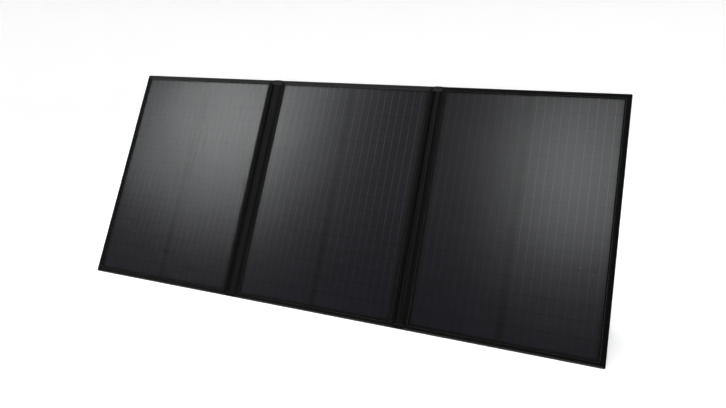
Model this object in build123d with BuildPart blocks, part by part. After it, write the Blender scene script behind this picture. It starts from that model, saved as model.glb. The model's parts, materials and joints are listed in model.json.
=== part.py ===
from build123d import *
import os
from math import cos, radians, sin

# A three-section folding solar panel, unfolded and standing on its kickstands.
# Millimetres. +Z is up, +X runs along the long side, and the cells face -Y and upwards.
# The origin is the middle of the footprint, on the ground.

# ---- driving dimensions -------------------------------------------------
LEAN = 30.0               # degrees that the sections lean back from upright
PANEL_W = 416.0           # one section, edge to edge
PANEL_H = 575.0
PANEL_T = 5.0
GAP_LEFT = 21.0           # fabric between the left and centre sections
GAP_RIGHT = 15.0          # fabric between the centre and right sections
CORNER_R = 3.0
EDGE_R = 2.0              # rounding of the binding, front and back

LIP_T = 0.8               # thickness of the binding tape
WINDOW_W = 387.0          # laminate left visible inside the front lip
WINDOW_H = 549.0
BACK_WINDOW_W = 392.0
BACK_WINDOW_H = 551.0
LAM_W = 403.0             # laminate, with the part under the lips
LAM_H = 565.0
LAM_R = 3.0

FRONT_SHEET_T = 0.3
RIBBON_T = 0.15
CELL_T = 0.25
COVER_T = 0.9             # padded cloth of the back
CELL_W = 182.0
CELL_H = 33.2
ROWS = 16
ROW_PITCH = 34.0
COLUMN_GAP = 12.7
WIRES = 10                # busbar wires on each column
WIRE_W = 0.9
CROSS_RIBBON_W = 4.0
WIRE_END_GAP = 0.2        # between the end of a wire and its cross ribbon
CROSS_RIBBON_S = 9.6      # cross ribbon's middle, measured from the edge of the section

STAND_HINGE_S = 360.0     # height of the kickstand hinge along the section
STAND_OPEN = 50.0         # degrees between section and kickstand
STAND_W = 200.0
STAND_T = 5.0
STAND_CORE_T = 3.0
STAND_WALL = (STAND_T - STAND_CORE_T) / 2
STAND_CLEAR = 1.5         # between a shut kickstand and the back
STAND_TOP_GAP = 1.0       # free cloth between the hinge axis and the board
STAND_AXIS_DEPTH = 0.9
BOARD_FOOT_GAP = 3.0      # between the end of the board and the ground
FOOT_L = 16.0
PATCH_L = 18.0
PATCH_T = 0.9
STRAP_X = 70.0
STRAP_W = 20.0
STRAP_T = 1.2
STRAP_PANEL = 250.0       # limit strap's distance from the hinge axis, on the section
STRAP_BOARD = 210.0       # and on the kickstand
STRAP_END_GAP = 1.2
SNAP_X = 60.0
SNAP_FROM_HINGE = 290.0
SNAP_R = 6.0
SNAP_SOCKET_R = 7.0
SNAP_STUD_H = 1.1

HANDLE_S = 560.0          # handle axis, measured along the section
HANDLE_DEPTH = 2.8
HANDLE_X = 62.0
HANDLE_DROP = 62.0
HANDLE_BAND = 25.0
HANDLE_T = 2.2
HANDLE_BEND_R = 26.0
HANDLE_TOP_GAP = 1.0      # between the handle axis and the ends of the loop
GRIP_L = 86.0
GRIP_W = 28.0
GRIP_T = 9.0
GRIP_R = 4.0
GRIP_EDGE_R = 3.0
ANCHOR_L = 26.0
ANCHOR_W = 30.0
ANCHOR_T = 1.2
ANCHOR_FROM_AXIS = 2.0

POCKET_W = 300.0
POCKET_H = 96.0
POCKET_T = 18.0
POCKET_WALL = 1.2
POCKET_R = 14.0
POCKET_EDGE_R = 6.0
POCKET_S = 429.0          # middle of the pocket, along the section
ZIP_S = 460.0
ZIP_L = 236.0
ZIP_SLOT = 7.0
ZIP_TAPE_W = 20.0
ZIP_TAPE_T = 0.8
ZIP_COIL_W = 5.0
ZIP_COIL_T = 1.6
ZIP_TAPE_END = 6.0        # tape past each end of the coil
SLIDER_FROM_END = 10.0
SLIDER_L = 9.0
SLIDER_R = 1.5
SLIDER_CLEAR = 0.4
SLIDER_WALL = 1.8
PULLER_W = 6.0
PULLER_L = 26.0
PULLER_T = 1.4
PULLER_R = 2.5
PULLER_DROP = 11.0        # middle of the puller, below the zip
PULLER_OUT = 2.2          # and behind the bridge
PULLER_HOLE_R = 1.2
PULLER_HOLE_UP = 10.5
POST_W = 2.0              # post on the bridge, which carries the puller
POST_H = 4.4
POST_T = 2.6

BOX_S = POCKET_S - 6      # middle of the junction box, along the section
BOX_W = 96.0
BOX_H = 58.0
BOX_DEPTH = 9.5
BOX_WALL = 2.0
BOX_LID_T = 3.0
BOX_R = 5.0
BOX_SCREW_X = 42.0
BOX_SCREW_S = 23.0
SCREW_PILLAR = 9.0
BOARD_POST_X = 25.0
BOARD_POST_S = 12.0
BOARD_POST_R = 2.0
BOARD_POST_H = 1.5
LID_CHAMFER = 0.8
SCREW_R = 1.2
SCREW_HEAD_R = 2.3
SCREW_HEAD_T = 1.2
SCREW_L = 9.0
SCREW_PLAY = 0.05         # between a screw and its hole
SCREW_TIP_GAP = 0.4
RECESS_L = 3.0            # cross recess of a screw head
RECESS_W = 0.6
DIODE_BOARD_W = 72.0
DIODE_BOARD_H = 32.0
DIODE_BOARD_T = 1.6
DIODE_W = 9.0
DIODE_H = 12.0
DIODE_T = 2.5
DIODE_PITCH = 20.0
SOLDER_BLOCK_X = 32.0
SOLDER_BLOCK_W = 6.0
SOLDER_BLOCK_H = 22.0
SOLDER_BLOCK_T = 3.5
SOCKET_R = 5.2
SOCKET_BORE_R = 4.0
SOCKET_L = 9.0
SOCKET_DEPTH = 5.6        # socket's axis, behind the back of the section
SOCKET_THREAD_R = 3.4
SOCKET_NOSE_IN = 1.0      # how far the threaded nose passes the inside of the wall
SOCKET_FLOOR = 2.0
PIN_R = 0.6
CAP_T = 2.0
CAP_CLEAR = 0.3
CAP_AXIS_S = 7.8          # cap's hinge axis, above the middle of the socket
CAP_TAB_W = 5.0
CAP_LUG_H = 3.2
CAP_LUG_LAP = 0.4

MAGNET_W = 4.0
MAGNET_L = 22.0
MAGNET_T = 2.0
MAGNET_S = (90.0, 287.5, 485.0)
LEAD_W = 8.0
LEAD_T = 0.5
LEAD_S = (270.0, 305.0)
STRIP_FRONT = 1.2         # fold hinge strip, below the front of the sections
STRIP_BACK = 3.9
STRIP_END = 1.0           # it stops this far short of the top and bottom edges
STRIP_CLEAR = 0.4         # between a fold hinge strip and the section that swings

# ---- worked out ---------------------------------------------------------
OVERALL_W = 3 * PANEL_W + GAP_LEFT + GAP_RIGHT
LEFT_X = -OVERALL_W / 2 + PANEL_W / 2
CENTRE_X = LEFT_X + PANEL_W + GAP_LEFT
RIGHT_X = CENTRE_X + PANEL_W + GAP_RIGHT
SECTIONS = {"left": LEFT_X, "centre": CENTRE_X, "right": RIGHT_X}

SIN, COS = sin(radians(LEAN)), cos(radians(LEAN))
NORMAL = (0, -COS, SIN)
LEG_TILT = STAND_OPEN - LEAN
LEG_SIN, LEG_COS = sin(radians(LEG_TILT)), cos(radians(LEG_TILT))

COLUMN_X = (CELL_W + COLUMN_GAP) / 2
FRONT_SHEET_N = -LIP_T - FRONT_SHEET_T
RIBBON_N = FRONT_SHEET_N - RIBBON_T
CELL_N = RIBBON_N - CELL_T
BASE_N = -PANEL_T + LIP_T + COVER_T
COVER_N = -PANEL_T + LIP_T

# the lowest line of a section is the rounded lower edge of its back
FRONT_Z = EDGE_R - EDGE_R * COS + (PANEL_T - EDGE_R) * SIN
AXIS_N = -PANEL_T - STAND_AXIS_DEPTH
AXIS_Z = FRONT_Z + STAND_HINGE_S * COS + AXIS_N * SIN
BOARD_Q = STAND_CLEAR - STAND_AXIS_DEPTH
BOARD_FAR_Q = BOARD_Q + STAND_T
LEG_INNER = (AXIS_Z + BOARD_Q * LEG_SIN) / LEG_COS
LEG_OUTER = (AXIS_Z + BOARD_FAR_Q * LEG_SIN) / LEG_COS

# footprint: front edge of the sections, and the outer edge of the feet
FOOT_FROM_FRONT = (
    STAND_HINGE_S * SIN - AXIS_N * COS + LEG_OUTER * LEG_SIN + BOARD_FAR_Q * LEG_COS
)
NOSE_FROM_FRONT = EDGE_R * (SIN + COS - 1)
FRONT_Y = -(FOOT_FROM_FRONT + NOSE_FROM_FRONT) / 2


def on_panel(x, s, n):
    """Plane along a section: s runs up it from its lower edge, n out of its front face."""
    y = FRONT_Y + s * SIN - n * COS
    z = FRONT_Z + s * COS + n * SIN
    return Plane(origin=(x, y, z), x_dir=(1, 0, 0), z_dir=NORMAL)


def behind(x, s, depth):
    """The same plane, with its depth measured from the back of the section."""
    return on_panel(x, s, -PANEL_T - depth)


def on_stand(x, along, depth):
    """Plane along an open kickstand, measured from its hinge axis; depth is away from the section."""
    hinge = on_panel(x, STAND_HINGE_S, AXIS_N).origin
    y = hinge.Y + along * LEG_SIN + depth * LEG_COS
    z = hinge.Z - along * LEG_COS + depth * LEG_SIN
    return Plane(origin=(x, y, z), x_dir=(1, 0, 0), z_dir=(0, -LEG_COS, -LEG_SIN))


def hanging(x, s, n, drop, depth):
    """Upright plane that hangs from a point of a section."""
    top = on_panel(x, s, n).origin
    return Plane(origin=(x, top.Y + depth, top.Z - drop), x_dir=(1, 0, 0), z_dir=(0, -1, 0))


def save(part, name):
    part.label = name
    export_step(part, f"parts/{name}.step")


os.makedirs("parts", exist_ok=True)
NORMAL_AXIS = Axis((0, 0, 0), NORMAL)

# ---- the three sections -------------------------------------------------
for side, mid in SECTIONS.items():
    # edge binding: one folded tape with a front lip, the edge and a back lip
    with BuildPart() as edge_binding:
        with BuildSketch(on_panel(mid, PANEL_H / 2, -PANEL_T)):
            RectangleRounded(PANEL_W, PANEL_H, CORNER_R)
        extrude(amount=PANEL_T)
        by_depth = edge_binding.faces().sort_by(NORMAL_AXIS)
        fillet(by_depth[0].edges() + by_depth[-1].edges(), EDGE_R)
        with BuildSketch(on_panel(mid, PANEL_H / 2, COVER_N)):
            RectangleRounded(LAM_W, LAM_H, LAM_R)
        extrude(amount=PANEL_T - 2 * LIP_T, mode=Mode.SUBTRACT)
        with BuildSketch(on_panel(mid, PANEL_H / 2, -LIP_T)):
            Rectangle(WINDOW_W, WINDOW_H)
        extrude(amount=LIP_T, mode=Mode.SUBTRACT)
        with BuildSketch(on_panel(mid, PANEL_H / 2, -PANEL_T)):
            Rectangle(BACK_WINDOW_W, BACK_WINDOW_H)
        extrude(amount=LIP_T, mode=Mode.SUBTRACT)
        if side in ("left", "right"):
            # pockets for the closure magnets, in the left edge of both side sections
            for s in MAGNET_S:
                with BuildSketch(on_panel(mid - LAM_W / 2 - MAGNET_W / 2, s, COVER_N)):
                    Rectangle(MAGNET_W, MAGNET_L)
                extrude(amount=MAGNET_T, mode=Mode.SUBTRACT)
    save(edge_binding.part, f"{side}_edge_binding")

    # back cover: padded cloth between the laminate and the back lip
    with BuildPart() as back_cover:
        with BuildSketch(on_panel(mid, PANEL_H / 2, COVER_N)):
            RectangleRounded(LAM_W, LAM_H, LAM_R)
        extrude(amount=COVER_T)
    save(back_cover.part, f"{side}_back_cover")

    # laminate base: board and encapsulant, with a seat for every cell
    with BuildPart() as laminate_base:
        with BuildSketch(on_panel(mid, PANEL_H / 2, BASE_N)):
            RectangleRounded(LAM_W, LAM_H, LAM_R)
        extrude(amount=RIBBON_N - BASE_N)
        with BuildSketch(on_panel(mid, PANEL_H / 2, CELL_N)):
            with GridLocations(2 * COLUMN_X, ROW_PITCH, 2, ROWS):
                Rectangle(CELL_W, CELL_H)
        extrude(amount=CELL_T, mode=Mode.SUBTRACT)
    save(laminate_base.part, f"{side}_laminate_base")

    # solar cells: two columns of strips
    with BuildPart() as solar_cells:
        with BuildSketch(on_panel(mid, PANEL_H / 2, CELL_N)):
            with GridLocations(2 * COLUMN_X, ROW_PITCH, 2, ROWS):
                Rectangle(CELL_W, CELL_H)
        extrude(amount=CELL_T)
    save(solar_cells.part, f"{side}_solar_cells")

    # cell ribbons: busbar wires up each column, and the cross ribbons that join them
    wire_h = PANEL_H - 2 * CROSS_RIBBON_S - CROSS_RIBBON_W - 2 * WIRE_END_GAP
    with BuildPart() as cell_ribbons:
        with BuildSketch(on_panel(mid, PANEL_H / 2, RIBBON_N)):
            for column in (-COLUMN_X, COLUMN_X):
                with Locations((column, 0)):
                    with GridLocations(CELL_W / WIRES, 1, WIRES, 1):
                        Rectangle(WIRE_W, wire_h)
            with Locations((0, CROSS_RIBBON_S - PANEL_H / 2)):
                Rectangle(2 * COLUMN_X + CELL_W, CROSS_RIBBON_W)
            with Locations((0, PANEL_H / 2 - CROSS_RIBBON_S)):
                with GridLocations(2 * COLUMN_X, 1, 2, 1):
                    Rectangle(CELL_W, CROSS_RIBBON_W)
        extrude(amount=RIBBON_T)
    save(cell_ribbons.part, f"{side}_cell_ribbons")

    # front sheet: the clear film that covers the cells
    with BuildPart() as front_sheet:
        with BuildSketch(on_panel(mid, PANEL_H / 2, FRONT_SHEET_N)):
            RectangleRounded(LAM_W, LAM_H, LAM_R)
        extrude(amount=FRONT_SHEET_T)
    save(front_sheet.part, f"{side}_front_sheet")

# ---- closure magnets ----------------------------------------------------
for side in ("left", "right"):
    edge_x = SECTIONS[side] - LAM_W / 2 - MAGNET_W / 2
    with BuildPart() as closure_magnets:
        for s in MAGNET_S:
            with BuildSketch(on_panel(edge_x, s, COVER_N)):
                Rectangle(MAGNET_W, MAGNET_L)
            extrude(amount=MAGNET_T)
    save(closure_magnets.part, f"{side}_closure_magnets")

# ---- fabric between the sections, and the leads inside it ----------------
left_strip = (CENTRE_X - PANEL_W / 2 - GAP_LEFT + STRIP_CLEAR, CENTRE_X - PANEL_W / 2)
right_strip = (CENTRE_X + PANEL_W / 2, CENTRE_X + PANEL_W / 2 + GAP_RIGHT - STRIP_CLEAR)
for side, (x_low, x_high) in {"left": left_strip, "right": right_strip}.items():
    strip_mid, strip_w = (x_low + x_high) / 2, x_high - x_low
    lead_n = -(STRIP_FRONT + STRIP_BACK + LEAD_T) / 2
    with BuildPart() as fold_hinge:
        with BuildSketch(on_panel(strip_mid, PANEL_H / 2, -STRIP_BACK)):
            Rectangle(strip_w, PANEL_H - 2 * STRIP_END)
        extrude(amount=STRIP_BACK - STRIP_FRONT)
        for s in LEAD_S:
            with BuildSketch(on_panel(strip_mid, s, lead_n)):
                Rectangle(strip_w, LEAD_W)
            extrude(amount=LEAD_T, mode=Mode.SUBTRACT)
    save(fold_hinge.part, f"{side}_fold_hinge")

    with BuildPart() as link_leads:
        for s in LEAD_S:
            with BuildSketch(on_panel(strip_mid, s, lead_n)):
                Rectangle(strip_w, LEAD_W)
            extrude(amount=LEAD_T)
    save(link_leads.part, f"{side}_link_leads")

# ---- kickstands ---------------------------------------------------------
foot_inner_top = LEG_INNER - FOOT_L
core_end = LEG_INNER - BOARD_FOOT_GAP
for side, mid in SECTIONS.items():
    # stiff board inside the kickstand
    core_l = core_end - STAND_TOP_GAP - STAND_WALL
    core_mid = STAND_TOP_GAP + STAND_WALL + core_l / 2
    with BuildPart() as stand_board:
        with BuildSketch(on_stand(mid, core_mid, BOARD_FAR_Q - STAND_WALL)):
            Rectangle(STAND_W - 2 * STAND_WALL, core_l)
        extrude(amount=STAND_CORE_T)
    save(stand_board.part, f"{side}_stand_board")

    # fabric cover: a sleeve that is shut at the hinge and open at the foot
    cover_l = foot_inner_top - STAND_TOP_GAP
    with BuildPart() as stand_cover:
        with BuildSketch(on_stand(mid, STAND_TOP_GAP + cover_l / 2, BOARD_FAR_Q)):
            Rectangle(STAND_W, cover_l)
        extrude(amount=STAND_T)
        with BuildSketch(on_stand(mid, core_mid, BOARD_FAR_Q - STAND_WALL)):
            Rectangle(STAND_W - 2 * STAND_WALL, core_l)
        extrude(amount=STAND_CORE_T, mode=Mode.SUBTRACT)
        with BuildSketch(on_stand(mid, SNAP_FROM_HINGE, BOARD_Q + STAND_WALL)):
            with GridLocations(2 * SNAP_X, 1, 2, 1):
                Circle(SNAP_SOCKET_R)
        extrude(amount=STAND_WALL, mode=Mode.SUBTRACT)
    save(stand_cover.part, f"{side}_stand_cover")

    # snap sockets: set flush in the inner face of the cover
    with BuildPart() as snap_sockets:
        with BuildSketch(on_stand(mid, SNAP_FROM_HINGE, BOARD_Q + STAND_WALL)):
            with GridLocations(2 * SNAP_X, 1, 2, 1):
                Circle(SNAP_SOCKET_R)
        extrude(amount=STAND_WALL)
    save(snap_sockets.part, f"{side}_snap_sockets")

    # rubber foot: a channel over the end of the board, cut level with the ground
    side_plane = Plane(origin=(mid - STAND_W / 2, 0, 0), x_dir=(0, 1, 0), z_dir=(1, 0, 0))
    foot_top_in = on_stand(mid, foot_inner_top, BOARD_Q).origin
    foot_top_out = on_stand(mid, foot_inner_top, BOARD_FAR_Q).origin
    foot_low_in = on_stand(mid, LEG_INNER, BOARD_Q).origin
    foot_low_out = on_stand(mid, LEG_OUTER, BOARD_FAR_Q).origin
    with BuildPart() as stand_foot:
        with BuildSketch(side_plane):
            with BuildLine():
                Polyline(
                    (foot_top_in.Y, foot_top_in.Z),
                    (foot_top_out.Y, foot_top_out.Z),
                    (foot_low_out.Y, foot_low_out.Z),
                    (foot_low_in.Y, foot_low_in.Z),
                    close=True,
                )
            make_face()
        extrude(amount=STAND_W)
        with BuildSketch(on_stand(mid, core_mid, BOARD_FAR_Q - STAND_WALL)):
            Rectangle(STAND_W - 2 * STAND_WALL, core_l)
        extrude(amount=STAND_CORE_T, mode=Mode.SUBTRACT)
    save(stand_foot.part, f"{side}_stand_foot")

    # hinge patch: the end of the cover cloth, sewn to the back above the axis
    with BuildPart() as stand_hinge_patch:
        with BuildSketch(behind(mid, STAND_HINGE_S + STAND_TOP_GAP + PATCH_L / 2, PATCH_T)):
            Rectangle(STAND_W, PATCH_L)
        extrude(amount=PATCH_T)
    save(stand_hinge_patch.part, f"{side}_stand_hinge_patch")

    # snap studs on the back, which the sockets meet when the kickstand is shut
    with BuildPart() as snap_studs:
        with BuildSketch(behind(mid, STAND_HINGE_S - SNAP_FROM_HINGE, SNAP_STUD_H)):
            with GridLocations(2 * SNAP_X, 1, 2, 1):
                Circle(SNAP_R)
        extrude(amount=SNAP_STUD_H)
    save(snap_studs.part, f"{side}_snap_studs")

    # limit straps: taut webbing that stops the kickstand at its open angle
    strap_low = behind(mid, STAND_HINGE_S - STRAP_PANEL, 0).origin
    strap_high = on_stand(mid, STRAP_BOARD, BOARD_Q).origin
    run = strap_high - strap_low
    across = Vector(1, 0, 0).cross(run.normalized())
    strap_plane = Plane(origin=strap_low + run * 0.5, x_dir=(1, 0, 0), z_dir=across)
    with BuildPart() as limit_straps:
        with BuildSketch(strap_plane.offset(-STRAP_T / 2)):
            with GridLocations(2 * STRAP_X, 1, 2, 1):
                Rectangle(STRAP_W, run.length - 2 * STRAP_END_GAP)
        extrude(amount=STRAP_T)
    save(limit_straps.part, f"{side}_limit_straps")

# ---- carry handles, one on each outer face of the folded stack -----------
for side in ("left", "centre"):
    mid = SECTIONS[side]
    axis_n = -PANEL_T - HANDLE_DEPTH
    # anchors: webbing ends sewn flat to the back
    with BuildPart() as handle_anchors:
        with BuildSketch(behind(mid, HANDLE_S - ANCHOR_L / 2 - ANCHOR_FROM_AXIS, ANCHOR_T)):
            with GridLocations(2 * HANDLE_X, 1, 2, 1):
                Rectangle(ANCHOR_W, ANCHOR_L)
        extrude(amount=ANCHOR_T)
    save(handle_anchors.part, f"{side}_handle_anchors")

    # webbing loop: down one side, round two bends, and up the other
    outer_x, inner_x = HANDLE_X + HANDLE_BAND / 2, HANDLE_X - HANDLE_BAND / 2
    outer_y, inner_y = -HANDLE_DROP - HANDLE_BAND / 2, -HANDLE_DROP + HANDLE_BAND / 2
    with BuildPart() as handle_strap:
        with BuildSketch(hanging(mid, HANDLE_S, axis_n, 0, HANDLE_T / 2)) as band:
            with Locations((0, (outer_y - HANDLE_TOP_GAP) / 2)):
                Rectangle(2 * outer_x, -outer_y - HANDLE_TOP_GAP)
            with Locations((0, inner_y / 2)):
                Rectangle(2 * inner_x, -inner_y, mode=Mode.SUBTRACT)
            low = band.vertices().group_by(Axis.Y)[0]
            fillet(low, HANDLE_BEND_R)
        extrude(amount=HANDLE_T)
        with BuildSketch(hanging(mid, HANDLE_S, axis_n, HANDLE_DROP, HANDLE_T / 2)):
            Rectangle(GRIP_L, HANDLE_BAND)
        extrude(amount=HANDLE_T)
    save(handle_strap.part, f"{side}_handle_strap")

    # padded grip: a sleeve round the middle of the loop
    with BuildPart() as handle_grip:
        with BuildSketch(hanging(mid, HANDLE_S, axis_n, HANDLE_DROP, GRIP_T / 2)):
            RectangleRounded(GRIP_L, GRIP_W, GRIP_R)
        extrude(amount=GRIP_T)
        faces_y = handle_grip.faces().sort_by(Axis.Y)
        fillet(faces_y[0].edges() + faces_y[-1].edges(), GRIP_EDGE_R)
        with BuildSketch(hanging(mid, HANDLE_S, axis_n, HANDLE_DROP, HANDLE_T / 2)):
            Rectangle(GRIP_L, HANDLE_BAND)
        extrude(amount=HANDLE_T, mode=Mode.SUBTRACT)
    save(handle_grip.part, f"{side}_handle_grip")

# ---- cable pocket on the back of the centre section ----------------------
with BuildPart() as pocket_shell:
    with BuildSketch(behind(CENTRE_X, POCKET_S, POCKET_T)):
        RectangleRounded(POCKET_W, POCKET_H, POCKET_R)
    extrude(amount=POCKET_T)
    outer_face = pocket_shell.faces().sort_by(NORMAL_AXIS)[0]
    fillet(outer_face.edges(), POCKET_EDGE_R)
    with BuildSketch(behind(CENTRE_X, POCKET_S, POCKET_T - POCKET_WALL)):
        inner_w, inner_h = POCKET_W - 2 * POCKET_WALL, POCKET_H - 2 * POCKET_WALL
        RectangleRounded(inner_w, inner_h, POCKET_R - POCKET_WALL)
    inner = extrude(amount=POCKET_T - POCKET_WALL, mode=Mode.PRIVATE)
    inner_face = inner.faces().sort_by(NORMAL_AXIS)[0]
    add(inner.fillet(POCKET_EDGE_R - POCKET_WALL, inner_face.edges()), mode=Mode.SUBTRACT)
    with BuildSketch(behind(CENTRE_X, ZIP_S, POCKET_T)):
        Rectangle(ZIP_L, ZIP_SLOT)
    extrude(amount=POCKET_WALL, mode=Mode.SUBTRACT)
save(pocket_shell.part, "pocket_shell")

# zip: tape with its coil, shut, over the slot
with BuildPart() as pocket_zip:
    with BuildSketch(behind(CENTRE_X, ZIP_S, POCKET_T + ZIP_TAPE_T)):
        Rectangle(ZIP_L + 2 * ZIP_TAPE_END, ZIP_TAPE_W)
    extrude(amount=ZIP_TAPE_T)
    with BuildSketch(behind(CENTRE_X, ZIP_S, POCKET_T + ZIP_TAPE_T + ZIP_COIL_T)):
        Rectangle(ZIP_L, ZIP_COIL_W)
    extrude(amount=ZIP_COIL_T)
save(pocket_zip.part, "pocket_zip")

# zip slider: a bridge over the coil, with its puller hanging from it
slider_x = CENTRE_X - ZIP_L / 2 + SLIDER_FROM_END
coil_top = POCKET_T + ZIP_TAPE_T + ZIP_COIL_T
bridge_in = ZIP_COIL_W / 2 + SLIDER_CLEAR
bridge_top = coil_top + SLIDER_CLEAR + SLIDER_WALL
with BuildPart() as zip_slider:
    with BuildSketch(behind(slider_x, ZIP_S, bridge_top)):
        RectangleRounded(SLIDER_L, 2 * (bridge_in + SLIDER_WALL), SLIDER_R)
    extrude(amount=bridge_top - POCKET_T - ZIP_TAPE_T - SLIDER_CLEAR)
    with BuildSketch(behind(slider_x, ZIP_S, coil_top + SLIDER_CLEAR)):
        Rectangle(SLIDER_L, 2 * bridge_in)
    extrude(amount=coil_top + SLIDER_CLEAR, mode=Mode.SUBTRACT)
    puller_n = -PANEL_T - bridge_top - PULLER_OUT
    with BuildSketch(hanging(slider_x, ZIP_S, puller_n, PULLER_DROP, PULLER_T / 2)):
        RectangleRounded(PULLER_W, PULLER_L, PULLER_R)
        with Locations((0, PULLER_HOLE_UP)):
            Circle(PULLER_HOLE_R, mode=Mode.SUBTRACT)
    extrude(amount=PULLER_T)
    with BuildSketch(behind(slider_x, ZIP_S, bridge_top + POST_T)):
        Rectangle(POST_W, POST_H)
    extrude(amount=POST_T)
save(zip_slider.part, "zip_slider")

# ---- junction box inside the pocket --------------------------------------
with BuildPart() as junction_box_base:
    with BuildSketch(behind(CENTRE_X, BOX_S, BOX_DEPTH)):
        RectangleRounded(BOX_W, BOX_H, BOX_R)
    extrude(amount=BOX_DEPTH)
    with BuildSketch(behind(CENTRE_X, BOX_S, BOX_DEPTH)) as room:
        RectangleRounded(BOX_W - 2 * BOX_WALL, BOX_H - 2 * BOX_WALL, BOX_R - BOX_WALL)
        with GridLocations(2 * BOX_SCREW_X, 2 * BOX_SCREW_S, 2, 2):
            Rectangle(SCREW_PILLAR, SCREW_PILLAR, mode=Mode.SUBTRACT)
    extrude(amount=BOX_DEPTH - BOX_WALL, mode=Mode.SUBTRACT)
    with BuildSketch(behind(CENTRE_X, BOX_S, BOX_WALL + BOARD_POST_H)):
        with GridLocations(2 * BOARD_POST_X, 2 * BOARD_POST_S, 2, 2):
            Circle(BOARD_POST_R)
    extrude(amount=BOARD_POST_H)
    with BuildSketch(behind(CENTRE_X, BOX_S, BOX_DEPTH)):
        with GridLocations(2 * BOX_SCREW_X, 2 * BOX_SCREW_S, 2, 2):
            Circle(SCREW_R + SCREW_PLAY)
    extrude(amount=SCREW_L - BOX_LID_T + SCREW_TIP_GAP, mode=Mode.SUBTRACT)
    socket_wall = behind(CENTRE_X + BOX_W / 2 - BOX_WALL, BOX_S, SOCKET_DEPTH)
    with BuildSketch(Plane(origin=socket_wall.origin, x_dir=NORMAL, z_dir=(1, 0, 0))):
        Circle(SOCKET_THREAD_R + SCREW_PLAY)
    extrude(amount=BOX_WALL, mode=Mode.SUBTRACT)
save(junction_box_base.part, "junction_box_base")

with BuildPart() as junction_box_lid:
    with BuildSketch(behind(CENTRE_X, BOX_S, BOX_DEPTH + BOX_LID_T)):
        RectangleRounded(BOX_W, BOX_H, BOX_R)
    extrude(amount=BOX_LID_T)
    lid_top = junction_box_lid.faces().sort_by(NORMAL_AXIS)[0]
    chamfer(lid_top.edges(), LID_CHAMFER)
    with BuildSketch(behind(CENTRE_X, BOX_S, BOX_DEPTH + BOX_LID_T)):
        with GridLocations(2 * BOX_SCREW_X, 2 * BOX_SCREW_S, 2, 2):
            Circle(SCREW_HEAD_R + SCREW_PLAY)
    extrude(amount=SCREW_HEAD_T, mode=Mode.SUBTRACT)
    with BuildSketch(behind(CENTRE_X, BOX_S, BOX_DEPTH + BOX_LID_T)):
        with GridLocations(2 * BOX_SCREW_X, 2 * BOX_SCREW_S, 2, 2):
            Circle(SCREW_R + SCREW_PLAY)
    extrude(amount=BOX_LID_T, mode=Mode.SUBTRACT)
save(junction_box_lid.part, "junction_box_lid")

with BuildPart() as junction_box_screws:
    with BuildSketch(behind(CENTRE_X, BOX_S, BOX_DEPTH + BOX_LID_T)):
        with GridLocations(2 * BOX_SCREW_X, 2 * BOX_SCREW_S, 2, 2):
            Circle(SCREW_HEAD_R)
    extrude(amount=SCREW_HEAD_T)
    with BuildSketch(behind(CENTRE_X, BOX_S, BOX_DEPTH + BOX_LID_T - SCREW_HEAD_T)):
        with GridLocations(2 * BOX_SCREW_X, 2 * BOX_SCREW_S, 2, 2):
            Circle(SCREW_R)
    extrude(amount=SCREW_L - SCREW_HEAD_T)
    with BuildSketch(behind(CENTRE_X, BOX_S, BOX_DEPTH + BOX_LID_T)):
        with GridLocations(2 * BOX_SCREW_X, 2 * BOX_SCREW_S, 2, 2):
            Rectangle(RECESS_L, RECESS_W)
            Rectangle(RECESS_W, RECESS_L)
    extrude(amount=RECESS_W, mode=Mode.SUBTRACT)
save(junction_box_screws.part, "junction_box_screws")

# diode board: circuit board with three bypass diodes and two solder blocks
board_back = BOX_WALL + BOARD_POST_H + DIODE_BOARD_T
with BuildPart() as diode_board:
    with BuildSketch(behind(CENTRE_X, BOX_S, board_back)):
        Rectangle(DIODE_BOARD_W, DIODE_BOARD_H)
    extrude(amount=DIODE_BOARD_T)
    with BuildSketch(behind(CENTRE_X, BOX_S, board_back + DIODE_T)):
        with GridLocations(DIODE_PITCH, 1, 3, 1):
            Rectangle(DIODE_W, DIODE_H)
    extrude(amount=DIODE_T)
    with BuildSketch(behind(CENTRE_X, BOX_S, board_back + SOLDER_BLOCK_T)):
        with GridLocations(2 * SOLDER_BLOCK_X, 1, 2, 1):
            Rectangle(SOLDER_BLOCK_W, SOLDER_BLOCK_H)
    extrude(amount=SOLDER_BLOCK_T)
save(diode_board.part, "diode_board")

# output socket: threaded nose through the wall, flange, barrel, and the pin in its bore
nose_l = BOX_WALL + SOCKET_NOSE_IN
nose = behind(CENTRE_X + BOX_W / 2 - nose_l, BOX_S, SOCKET_DEPTH)
nose_plane = Plane(origin=nose.origin, x_dir=NORMAL, z_dir=(1, 0, 0))
with BuildPart() as output_socket:
    with BuildSketch(nose_plane):
        Circle(SOCKET_THREAD_R)
    extrude(amount=nose_l)
    with BuildSketch(nose_plane.offset(nose_l)):
        Circle(SOCKET_R)
        with Locations((0, -SOCKET_R - CAP_LUG_H / 2 + CAP_LUG_LAP)):
            Rectangle(CAP_TAB_W, CAP_LUG_H)
    extrude(amount=SOCKET_L)
    with BuildSketch(nose_plane.offset(nose_l + SOCKET_FLOOR)):
        Circle(SOCKET_BORE_R)
        Circle(PIN_R, mode=Mode.SUBTRACT)
    extrude(amount=SOCKET_L - SOCKET_FLOOR, mode=Mode.SUBTRACT)
save(output_socket.part, "output_socket")

# socket cap: a disc that shuts the mouth, on a tab that swings up about the lug above it
# (the sketch's own Y runs down the section here)
with BuildPart() as socket_cap:
    with BuildSketch(nose_plane.offset(nose_l + SOCKET_L + CAP_CLEAR)):
        Circle(SOCKET_R)
        with Locations((0, -CAP_AXIS_S / 2)):
            Rectangle(CAP_TAB_W, CAP_AXIS_S)
    extrude(amount=CAP_T)
save(socket_cap.part, "socket_cap")
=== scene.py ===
import json
import math

import bmesh
import bpy
from mathutils import Matrix, Vector, noise


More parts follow.
